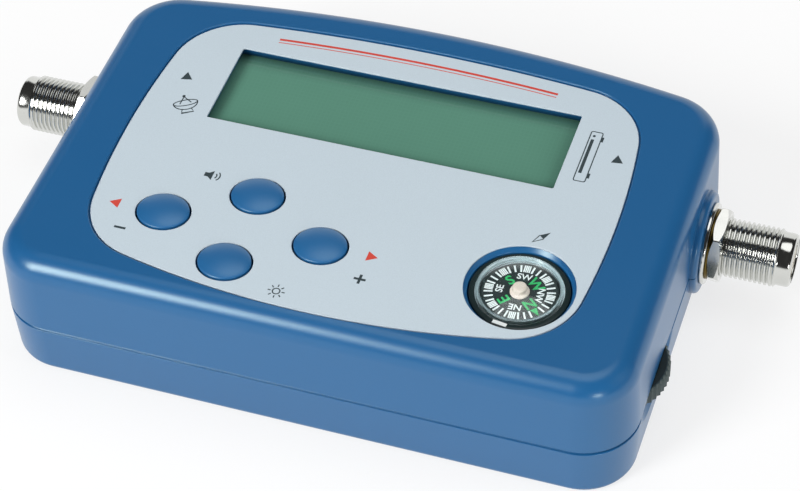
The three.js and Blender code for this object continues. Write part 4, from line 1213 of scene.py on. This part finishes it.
def sounder_symbol(line):
    """Loudspeaker with two waves, in millimetres about its middle."""
    horn = [(-1.1, -0.35), (-0.55, -0.35), (0.05, -0.85), (0.05, 0.85), (-0.55, 0.35), (-1.1, 0.35)]
    waves = [arc(0.05, 0, radius, -0.8, 0.8, 10) for radius in (0.55, 1.0)]
    return [horn, *[face for wave in waves for face in stroke(wave, line)]]


def lamp_symbol(line):
    """Lamp with rays, in millimetres about its middle."""
    rays = zip(circle(0, 0, 0.85, 8), circle(0, 0, 1.3, 8))
    return [*stroke(circle(0, 0, 0.55, 24), line, True), *[face for ray in rays for face in stroke(ray, line)]]


def needle_symbol(line):
    """Compass needle, half of it filled, in millimetres about its middle, along Y."""
    return [[(-0.5, 0), (0.5, 0), (0, 1.7)], *stroke([(-0.5, 0), (0, -1.7), (0.5, 0)], line)]


def plus_faces():
    """Plus sign in millimetres about its middle."""
    reach, half = SIGN
    arm, place = (reach - half) / 2, (reach + half) / 2
    return [rectangle(reach, half), rectangle(half, arm, 0, 0, place), rectangle(half, arm, 0, 0, -place)]


class PrintLabel(bpy.types.Operator):
    """Prints the arrows, plain symbols and the rule on the label"""

    bl_idname = "signal_meter.label_print"
    bl_label = "Label print"

    def execute(self, context):
        label, finish = settings("label"), settings("finishes")
        line = label.line_width / MM
        arrow = triangle(0, 0, 1.75, 1.9, 1)
        # Each symbol with its place in millimetres, its turn in degrees and its scale
        symbols = (
            (arrow, -35.8, 11.9, 102, 1), (arrow, 37.2, 12.8, 98, 1), (dish_symbol(line), -33.6, 5.6, 30, 1.05),
            (receiver_symbol(line), 32.6, 12.1, 0, 1), ([rectangle(*SIGN)], -33.2, -23.3, 0, 1),
            (plus_faces(), 6.3, -23.1, 0, 1), (sounder_symbol(line), -23.4, -8.6, 0, 1.2),
            (lamp_symbol(line), -5.1, -29.0, 0, 1.05), (needle_symbol(line), 30.4, -6.9, -40, 1),
        )
        dark = [
            face for faces, x, y, turn, scale in symbols
            for face in moved(faces, x * MM, y * MM, radians(turn), scale * MM)
        ]
        arrow_size = (1.7 * MM, 2.0 * MM)
        red = [
            *triangle(-36.1 * MM, -18.45 * MM, *arrow_size, -1), *triangle(6.7 * MM, -18.2 * MM, *arrow_size, 1),
            *stroke(self.back_line(3.0 * MM), 0.45 * MM), *stroke(self.back_line(3.75 * MM), 0.15 * MM),
        ]
        for name, faces, colour in (("dark", dark, finish.dark_ink), ("red", red, finish.red_ink)):
            printed(
                f"label_{name}_print", faces, top("front_label"), label.print_height,
                ink(f"{name.capitalize()} ink", colour), "case"
            )
        return {"FINISHED"}

    @staticmethod
    def back_line(inset):
        """Line that follows the label's bowed back over its middle part."""
        return sorted(point for point in label_outline(inset) if point[1] > 0 and abs(point[0]) < RULE_REACH)


class DressDisplay(bpy.types.Operator):
    """Gives the display stack its glass, light guide, frame and contact strips"""

    bl_idname = "signal_meter.display"
    bl_label = "Display"

    def execute(self, context):
        finish = settings("finishes")
        paint(display_glass(finish.display), "display_front_glass", "display_back_glass")
        paint(plastic("Light guide", finish.cream, 0.25, depth=0.004), "display_backlight")
        paint(black_plastic(), "display_frame")
        rubber = plastic("Contact rubber", finish.rubber, 0.75, grain=0.0002, depth=0.02, tone=0.25)
        paint(rubber, "display_strip_front", "display_strip_back")
        return {"FINISHED"}


class MakeKeys(bpy.types.Operator):
    """Makes the four domed keys and dresses their plungers and switches"""

    bl_idname = "signal_meter.keys"
    bl_label = "Keys"

    def execute(self, context):
        key, finish = settings("keys"), settings("finishes")
        cap = plastic(
            "Key blue", finish.keys, 0.34, depth=0.003, tone=0.06, smear=0.06, smear_size=0.006,
            Specular_IOR_Level=0.9, Specular_Tint=SATIN_TINT
        )
        surface = top("front_label")
        skirt, ceiling, shoulder = surface + key.straight, surface - key.shell, 9
        for name in KEYS:
            node = f"key_{name}"
            low, rise = bottom(node), top(node) - skirt
            flange, flange_top = half_size(node, 0), low + key.flange
            profile = [
                (0, low), (key.stem, low), (key.stem, ceiling), (key.radius - key.shell, ceiling),
                (key.radius - key.shell, low), (flange, low), (flange, flange_top), (key.radius, flange_top),
            ]
            for share in (sin(a) for a in spread(pi / 2, 0, 28)):
                dome = (1 - key.dome * share ** 2) * sqrt(1 - share ** shoulder)
                profile.append((key.radius * share, skirt + rise * dome))
            dress(key_form(f"{node}_cap", profile, name), cap, node, node, slot="key_blue")
            paint(black_plastic(), f"plunger_{name}")
            paint(tinned_steel(), f"switch_{name}")
        return {"FINISHED"}


class MakeCompass(bpy.types.Operator):
    """Makes the compass: capsule, lens, card with its scale and letters, hub, pin and magnet"""

    bl_idname = "signal_meter.compass"
    bl_label = "Compass"

    def execute(self, context):
        self.capsule()
        self.card()
        return {"FINISHED"}

    @staticmethod
    def capsule():
        """Capsule, lens and reference mark."""
        compass, finish = settings("compass"), settings("finishes")
        x, y = middle("compass_capsule")
        low, rim = bottom("compass_capsule"), top("compass_capsule")
        seat_radius = compass.capsule - compass.rim
        seat, ledge = rim - 0.6 * MM, seat_radius - compass.ledge
        pin, floor, edge = 0.425 * MM, low + 0.9 * MM, 0.2 * MM
        profile = rounded([
            (pin, low), (compass.capsule, low, edge), (compass.capsule, rim, 0.3 * MM), (seat_radius, rim, edge),
            (seat_radius, seat), (ledge, seat, 0.1 * MM), (ledge, floor), (pin, floor), (pin, low),
        ])
        # Painted reflection: within the seat the capsule is pale grey, standing in for light reflected by the clear
        # inner wall and lens rim. Beyond the seat it is black.
        black_and_painted_reflection = two_tone_plastic("Capsule", finish.seat, finish.black, "compass_capsule", seat_radius + 0.04 * MM, 0.2)
        dress(lathe("compass_capsule_ring", profile, x, y), black_and_painted_reflection, "case", "compass_capsule", slot="black_plastic")

        lens_low, lens_high = bottom("compass_lens"), top("compass_lens")
        outer = half_size("compass_lens", 0)
        inner = outer - compass.ledge + compass.clearance
        thick, skirt = 0.4 * MM, 1.1 * MM
        curve = bow_radius(outer, lens_high - (lens_low + skirt))

        def height(radius):
            return lens_high - (curve - sqrt(curve ** 2 - radius ** 2))

        dome = [(r, height(r)) for r in reversed(spread(0, outer, 24))]
        under = [(r, height(r) - thick) for r in spread(0, inner, 24)]
        solid = lathe("compass_lens_dome", [*under, (inner, lens_low), (outer, lens_low), *dome], x, y)
        dress(outward(solid), clear_lens(finish.clear), "case", "compass_lens", slot="clear_plastic", angle=50)
        solid.visible_shadow = False

        place, turn = seat_radius + 0.35 * MM, radians(-98.5)
        mark = moved([rectangle(1.15 * MM, 0.32 * MM)], x + place * cos(turn), y + place * sin(turn), turn + pi / 2)
        white = ink("White ink", finish.white_ink)
        printed("compass_reference_mark", mark, rim, 0.03 * MM, white, "case")
        paint(steel(), "compass_pivot")

    @staticmethod
    def card():
        """Card with its scale and letters, the hub and the magnet, which all turn together."""
        compass, finish = settings("compass"), settings("finishes")
        x, y = middle("compass_card")
        low, high = bottom("compass_card"), top("compass_card")
        hole, edge = 0.5 * MM, 0.08 * MM
        profile = rounded([
            (hole, low), (compass.card, low, edge), (compass.card, high, edge), (hole, high), (hole, low),
        ])
        face = plastic("Card black", finish.black, 0.55, grain=0.00015, depth=0.004, tone=0.3)
        dress(lathe("compass_card_disc", profile, x, y), face, "compass_rose", "compass_card", slot="black_plastic")
        inner, outer, width = compass.tick_inner, compass.tick_outer, compass.tick_width
        base, point, arrow_half, tick_gap = inner - 0.1 * MM, outer + 0.15 * MM, 0.55 * MM, 0.07 * MM
        white, green = [], moved([[(base, -arrow_half), (point, 0), (base, arrow_half)]], x, y, compass.bearing)
        for i in range(1, TICKS):
            count, share = (4, 0.72) if i % 4 == 0 else (1, 1)
            half = share * width / 2
            for k in range(count):
                shift = (share * width + tick_gap) * (k - (count - 1) / 2)
                tick = [(inner, shift - half), (outer, shift - half), (outer, shift + half), (inner, shift + half)]
                white += moved([tick], x, y, compass.bearing - tau * i / TICKS)
        for i, word in enumerate(("N", "NE", "E", "SE", "S", "SW", "W", "NW")):
            turn = compass.bearing - tau * i / 8
            faces, tall, reach = (green, compass.letter, 2.85) if len(word) == 1 else (white, compass.pair, 3.15)
            place = (x + reach * MM * cos(turn), y + reach * MM * sin(turn))
            faces += moved(letters(word, tall), *place, turn - pi / 2)
        for name, faces, print_ink in (
            ("scale", white, ink("White ink", finish.white_ink)),
            ("letters", green, ink("Green ink", finish.green_ink)),
        ):
            printed(f"compass_{name}", faces, high, 0.02 * MM, print_ink, "compass_rose")

        hub_low, hub_high = bottom("compass_hub"), top("compass_hub")
        flare, recess = half_size("compass_hub", 0), hub_high - 0.4 * MM
        waist = flare - 0.4 * MM
        hub = rounded([
            (hole, hub_low), (flare, hub_low), (flare, hub_low + 0.25 * MM, 0.12 * MM),
            (waist, hub_low + 0.5 * MM, 0.2 * MM), (waist, hub_high, 0.3 * MM), (0, hub_high)
        ])
        solid = lathe("compass_hub_cap", [(0, recess), (hole, recess), *hub], x, y, SMALL_STEPS)
        cap = plastic("Hub", finish.hub, 0.22, depth=0.003, smear_size=0.003)
        dress(outward(solid), cap, "compass_rose", "compass_hub", slot="white_plastic")
        paint(steel(), "compass_magnet")


class MakeSockets(bpy.types.Operator):
    """Makes both threaded sockets with their washers, nuts, insulators and contacts"""

    bl_idname = "signal_meter.sockets"
    bl_label = "Sockets"

    def execute(self, context):
        finish = settings("finishes")
        nickel = socket_metal("Nickel", finish.nickel, 0.14, depth=0.0003)
        brass = socket_metal("Brass", finish.brass, 0.32)
        for name, side in SOCKETS.items():
            self.barrel(name, side, nickel)
            self.core(name, side, brass)
            self.washers(name, side, nickel, brass)
            self.nut(name, side, nickel)
        return {"FINISHED"}

    @staticmethod
    def span(node, side):
        """Start and end of a node along its socket's axis, from the middle outwards."""
        low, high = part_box(node)
        return (low.x, high.x) if side > 0 else (-high.x, -low.x)

    def barrel(self, name, side, nickel):
        """Threaded barrel: flange, thread with its run-out, plain nose and bore."""
        socket = settings("sockets")
        node = f"{name}_socket_barrel"
        start, end = self.span(node, side)
        flange, entry = half_size(node, 2), 0.35 * MM
        thread_from, thread_to = start + socket.flange, end - socket.nose_length - 0.4 * MM
        run_out, crest = 0.6 * MM, 0.25
        steps = ceil((thread_to - thread_from) / socket.pitch * THREAD_STEPS)
        nose = rounded([
            (socket.thread_radius - 0.1 * MM, thread_to), (socket.nose_radius, end - socket.nose_length),
            (socket.nose_radius, end, socket.nose_edge), (socket.bore + entry, end), (socket.bore, end - entry),
            (socket.bore, start)
        ], steps=8)
        unit = circle(0, 0, 1, ROUND_STEPS)

        def ring(radius, z):
            return [(radius * c, radius * s, z) for c, s in unit]

        grid = [ring(socket.bore, start), ring(flange, start), ring(flange, start + socket.flange)]
        for z in spread(thread_from, thread_to, steps):
            fade = max(0, min(1, (thread_to - z) / run_out, (z - thread_from) / run_out))
            row = []
            for i, (c, s) in enumerate(unit):
                away = abs(2 * ((z / socket.pitch - i / ROUND_STEPS) % 1) - 1)
                flank = max(0, (away - crest) / (1 - crest))
                radius = socket.thread_radius - socket.thread_depth * flank ** 2 * (3 - 2 * flank) * fade
                row.append((radius * c, radius * s, z))
            grid.append(row)
        grid += [ring(radius, z) for radius, z in nose[:-1]]
        made = lay(skin(f"{node}_thread", grid, closed=True), toward(side, node))
        dress(outward(made), nickel, "case", node, slot="nickel", angle=75)

    def core(self, name, side, brass):
        """Insulator with its entry and the spring contact behind it."""
        node = f"{name}_socket_insulator"
        start, face = self.span(node, side)
        radius, contact, hole, chamber = half_size(node, 2), 1.05 * MM, 0.5 * MM, face - 1.5 * MM
        profile = rounded([
            (contact, start), (radius, start), (radius, face, 0.2 * MM), (1.1 * MM, face, 0.1 * MM),
            (hole, face - 0.8 * MM), (hole, chamber), (contact, chamber), (contact, start),
        ])
        made = lay(lathe(f"{node}_plug", profile, steps=SMALL_STEPS), toward(side, node))
        pale = plastic("Insulator", settings("finishes").cream, 0.35, depth=0.004)
        dress(outward(made), pale, "case", node, slot="white_plastic")
        paint(brass, f"{name}_socket_contact")

    def washers(self, name, side, nickel, brass):
        """Washer and lock washer."""
        bore = settings("sockets").thread_radius + NUT_GAP
        for kind, finish, slot_name, edge in (
            ("washer", nickel, "nickel", 0.3 * MM), ("lock_washer", brass, "brass", 0.1 * MM),
        ):
            node = f"{name}_socket_{kind}"
            start, end = self.span(node, side)
            radius = half_size(node, 2)
            profile = rounded([
                (bore, start), (radius, start, edge / 2), (radius, end, edge), (bore, end, 0.08 * MM), (bore, start)
            ])
            made = lay(lathe(f"{node}_ring", profile), toward(side, f"{name}_socket_barrel"))
            dress(outward(made), finish, "case", node, slot=slot_name)

    def nut(self, name, side, nickel):
        """Hexagon nut with blunt corners, chamfered at both faces."""
        socket = settings("sockets")
        node = f"{name}_socket_nut"
        start, end = self.span(node, side)
        corner, blunt = socket.flats / sqrt(3), 0.12 * MM
        hexagon = []
        for i in range(6):
            here, before, after = (
                Vector((corner * cos(k * pi / 3), corner * sin(k * pi / 3))) for k in (i, i - 1, i + 1)
            )
            hexagon += [tuple(here + (other - here).normalized() * blunt) for other in (before, after)]
        hexagon = moved([hexagon], turn=socket.nut_turn)[0]
        body = prism(f"{node}_hexagon", hexagon, start, end)
        bore, face = socket.thread_radius + NUT_GAP, corner - socket.nut_chamfer
        entry, rise = 0.3 * MM, socket.nut_rise
        profile = rounded([
            (bore + entry, start), (face, start), (corner, start + rise), (corner, end - rise), (face, end, 0.1 * MM),
            (bore + entry, end), (bore, end - entry), (bore, start + entry), (bore + entry, start),
        ])
        carve(body, [lathe("envelope", profile)], "INTERSECT")
        dress(lay(body, toward(side, f"{name}_socket_barrel")), nickel, "case", node, slot="nickel", angle=20)


class MakeWheel(bpy.types.Operator):
    """Makes the knurled thumbwheel and dresses its screw and potentiometer"""

    bl_idname = "signal_meter.wheel"
    bl_label = "Thumbwheel"

    def execute(self, context):
        wheel, finish = settings("wheel"), settings("finishes")
        low, high = bottom("thumbwheel"), top("thumbwheel")
        x, y = middle("thumbwheel")
        radius, edge, steps = half_size("thumbwheel", 0), wheel.edge, wheel.teeth * 8
        end_share, sharpness = 0.6, 0.7

        def knurl(inset):
            outline = []
            for i in range(steps):
                angle = tau * i / steps
                wave = (0.5 - 0.5 * cos(wheel.teeth * angle)) ** sharpness
                r = radius - inset - (wheel.tooth_depth * max(0, 1 - inset / edge * end_share)) * wave
                outline.append((x + r * cos(angle), y + r * sin(angle)))
            return outline

        body = loft("thumbwheel_knurled", [
            (knurl(edge), low), (knurl(0), low + edge), (knurl(0), high - edge), (knurl(edge), high)
        ])
        dish, slope = high - wheel.web_depth, 0.1 * MM
        web = rounded([
            (wheel.web_inner, dish), (wheel.web_outer, dish), (wheel.web_outer + slope, high + OVERRUN),
            (wheel.web_inner - slope, high + OVERRUN), (wheel.web_inner, dish)
        ])
        sink = bar(wheel.head_hole, low - OVERRUN, low + 0.85 * MM)
        bore = bar(0.75 * MM, low - OVERRUN, high)
        keyway, keyway_depth = 1.3 * MM, 1.5 * MM
        carve(body, [
            lathe("web", web, x, y), lathe("sink", sink, x, y, SMALL_STEPS), lathe("bore", bore, x, y, 24),
            box_solid(
                "keyway", (x - keyway, y - keyway, high - keyway_depth), (x + keyway, y + keyway, high + OVERRUN)
            ),
        ])
        # Black within the rim, and a paler tone on the teeth round it.
        dark = two_tone_plastic("Wheel", finish.black, finish.rim, "thumbwheel", radius - 0.6 * MM, 0.5)
        dress(body, dark, "wheel", "thumbwheel", slot="black_plastic")
        paint(steel(), "thumbwheel_screw")
        paint(cream_plastic(), "potentiometer_rotor")
        paint(black_plastic(), "potentiometer_body")
        return {"FINISHED"}


class MakeScrews(bpy.types.Operator):
    """Makes the case screws with their cross recesses and dresses the board screws"""

    bl_idname = "signal_meter.screws"
    bl_label = "Screws"

    def execute(self, context):
        shank, pitch, core_share = 1.3 * MM, 0.9 * MM, 0.72
        arm, web, recess = 1.55 * MM, 0.32 * MM, 0.95 * MM
        for node in CASE_SCREWS:
            low, high = bottom(node), top(node)
            x, y = middle(node)
            head, shoulder = half_size(node, 0), low + 1.75 * MM
            profile = [
                (0, low), (head * 0.6, low + 0.08 * MM), (head * 0.9, low + 0.45 * MM), (head, low + 0.95 * MM),
                (head, shoulder), (shank, shoulder),
            ]
            z = shoulder + pitch
            while z < high - 1.4 * MM:
                profile += [(shank * core_share, z), (shank, z + pitch / 2)]
                z += pitch
            profile += [(shank * core_share, high - 1.2 * MM), (0, high)]
            cuts = [
                box_solid("arm", (x - a, y - b, low - OVERRUN), (x + a, y + b, low + recess))
                for a, b in ((arm, web), (web, arm))
            ]
            screw = carve(lathe(f"{node}_pan", profile, x, y, 40), cuts)
            dress(screw, steel(), "case", node, slot="steel")
        paint(steel(), "board_screw_1", "board_screw_2")
        return {"FINISHED"}


class DressInside(bpy.types.Operator):
    """Gives the board, the shield and the components their finishes"""

    bl_idname = "signal_meter.inside"
    bl_label = "Board and shield"

    def execute(self, context):
        finish = settings("finishes")
        paint(lacquered_board(finish.board), "main_board")
        paint(tinned_steel(), "shield_frame", "shield_lid")
        moulding = plastic("Chip moulding", finish.black, 0.6, grain=0.00012, depth=0.01, tone=0.2)
        paint(moulding, "tuner_chip", "controller_chip")
        paint(black_plastic(), "sounder")
        paint(steel(), "crystal", "capacitor_1", "capacitor_2")
        return {"FINISHED"}


def ray_kinds(tree):
    """Sockets that are 1 for camera rays, for reflected rays and for rays through clear material."""
    path = add(tree, "ShaderNodeLightPath").outputs
    return path["Is Camera Ray"], path["Is Glossy Ray"], path["Is Transmission Ray"]


class SetStage(bpy.types.Operator):
    """Sets the floor, the lamps, the background and the camera"""

    bl_idname = "signal_meter.stage"
    bl_label = "Stage"

    def execute(self, context):
        self.floor()
        self.background()
        self.lamps()
        self.camera()
        return {"FINISHED"}

    @staticmethod
    def floor():
        """Plain pale floor, shown whiter to the camera and in reflections but with its shadow."""
        reach, to_camera, to_mirrors = 3, 0.74, 0.85
        corners = [(-reach, -reach, 0), (reach, -reach, 0), (reach, reach, 0), (-reach, reach, 0)]
        ground = piece_from("floor", corners, [(0, 1, 2, 3)])
        made, tree, shader = blank("Floor", 0.9, Specular_IOR_Level=0.0, Base_Color=(0.96, 0.96, 0.96, 1))
        camera, glossy, through = ray_kinds(tree)
        strong = maths(tree, "MULTIPLY", maths(tree, "MAXIMUM", glossy, through), to_mirrors)
        share = maths(tree, "MULTIPLY_ADD", camera, to_camera, strong)
        white = add(tree, "ShaderNodeEmission", {"Color": WHITE, "Strength": 1.0})
        mixed = add(tree, "ShaderNodeMixShader", {0: share, 1: shader.outputs[0], 2: white.outputs[0]})
        output = next(item for item in tree.nodes if item.type == "OUTPUT_MATERIAL")
        tree.links.new(mixed.outputs[0], output.inputs["Surface"])
        ground.data.materials.append(made)

    @staticmethod
    def background():
        """Surroundings: white to the camera and up to a horizon in reflections, dark above it, with an even light."""
        world = bpy.data.worlds.new("Studio")
        world.use_nodes = True
        bpy.context.scene.world = world
        tree = world.node_tree
        tree.nodes.clear()
        way = add(tree, "ShaderNodeSeparateXYZ", {0: add(tree, "ShaderNodeTexCoord").outputs["Generated"]}).outputs
        # Height of the horizon, which falls towards the front and to both sides
        behind = ramp(tree, way["Y"], -0.6, 0.1, 0.1, 0.5)
        sideways = maths(tree, "ABSOLUTE", maths(tree, "ADD", way["X"], 0.15))
        horizon = maths(tree, "MINIMUM", behind, ramp(tree, sideways, 0.42, 0.6, 0.5, 0.02))
        above, soft, darkest, even_light = maths(tree, "SUBTRACT", way["Z"], horizon), 0.06, 0.03, 0.27
        level = ramp(tree, above, -soft, soft, 1.0, darkest, interpolation_type="SMOOTHSTEP")
        camera, glossy, through = ray_kinds(tree)
        seen, lit = (
            add(tree, "ShaderNodeBackground", {"Color": WHITE, "Strength": strength}).outputs[0]
            for strength in (maths(tree, "MAXIMUM", level, camera), even_light)
        )
        shown = maths(tree, "MAXIMUM", maths(tree, "MAXIMUM", camera, glossy), through)
        mixed = add(tree, "ShaderNodeMixShader", {0: shown, 1: lit, 2: seen})
        add(tree, "ShaderNodeOutputWorld", {"Surface": mixed.outputs[0]})

    @staticmethod
    def lamps():
        """Soft lamps: two in front, one overhead and one at the right that shows in no reflection."""
        for name, place, width, height, power in (
            ("front_lamp", (-0.45, -0.68, 0.59), 0.36, 0.5, 7.7),
            ("corner_lamp", (0.62, -0.74, 0.24), 0.17, 0.17, 1.3),
            ("top_lamp", (0.0, 0.22, 1.1), 0.8, 0.8, 2.3),
            ("side_lamp", (0.95, 0.1, 0.55), 0.7, 0.7, 3.6),
        ):
            light = bpy.data.lights.new(name, "AREA")
            light.shape = "ELLIPSE"
            light.size, light.size_y, light.energy = width, height, power
            lamp = placed(name, light)
            lamp.location = place
            lamp.rotation_euler = Vector(place).to_track_quat("Z", "Y").to_euler()
            lamp.visible_glossy = name != "side_lamp"

    @staticmethod
    def camera():
        """Camera at the angle of the photograph."""
        stage = settings("stage")
        back = Vector((
            sin(stage.azimuth) * cos(stage.elevation), -cos(stage.azimuth) * cos(stage.elevation), sin(stage.elevation)
        ))
        right = Vector((cos(stage.azimuth), sin(stage.azimuth), 0))
        above = back.cross(right)
        side = right * cos(stage.roll) + above * sin(stage.roll)
        above = above * cos(stage.roll) - right * sin(stage.roll)
        data = bpy.data.cameras.new("camera")
        data.lens, data.sensor_width, data.sensor_fit = stage.lens, SENSOR, "HORIZONTAL"
        data.clip_start, data.clip_end = 0.02, 20
        made = placed("camera", data)
        turn = Matrix((side, above, back)).transposed().to_4x4()
        made.matrix_world = Matrix.Translation(Vector(stage.target) + back * stage.distance) @ turn
        bpy.context.scene.camera = made
        bpy.context.scene.view_settings.view_transform = "Standard"


OPERATORS = (
    SetStage, MakeUpperCover, MakeLowerCover, MakeLabel, PrintLabel, DressDisplay, MakeKeys, MakeCompass, MakeSockets,
    MakeWheel, MakeScrews, DressInside,
)


class SignalMeterPanel(bpy.types.Panel):
    """Sidebar panel with the sizes, the colours and one button for each group of pieces"""

    bl_idname = "VIEW3D_PT_signal_meter"
    bl_label = "Signal meter"
    bl_space_type = "VIEW_3D"
    bl_region_type = "UI"
    bl_category = "Signal meter"

    def draw(self, context):
        for name, kind in GROUPS.items():
            box = self.layout.box()
            box.label(text=kind.__name__)
            for key in kind.__annotations__:
                box.prop(getattr(context.scene, name), key)
        for operator in OPERATORS:
            self.layout.operator(operator.bl_idname)


def register():
    """Adds the classes and their settings to Blender."""
    for kind in (*GROUPS.values(), *OPERATORS, SignalMeterPanel):
        bpy.utils.register_class(kind)
    for name, kind in GROUPS.items():
        setattr(bpy.types.Scene, name, bpy.props.PointerProperty(type=kind))


def unregister():
    """Takes the settings and the classes out again."""
    for name in GROUPS:
        delattr(bpy.types.Scene, name)
    for kind in (SignalMeterPanel, *reversed(OPERATORS), *GROUPS.values()):
        bpy.utils.unregister_class(kind)


def main():
    """Makes every piece in order."""
    register()
    for operator in OPERATORS:
        space, name = operator.bl_idname.split(".")
        getattr(getattr(bpy.ops, space), name)()


if __name__ == "__main__":
    main()
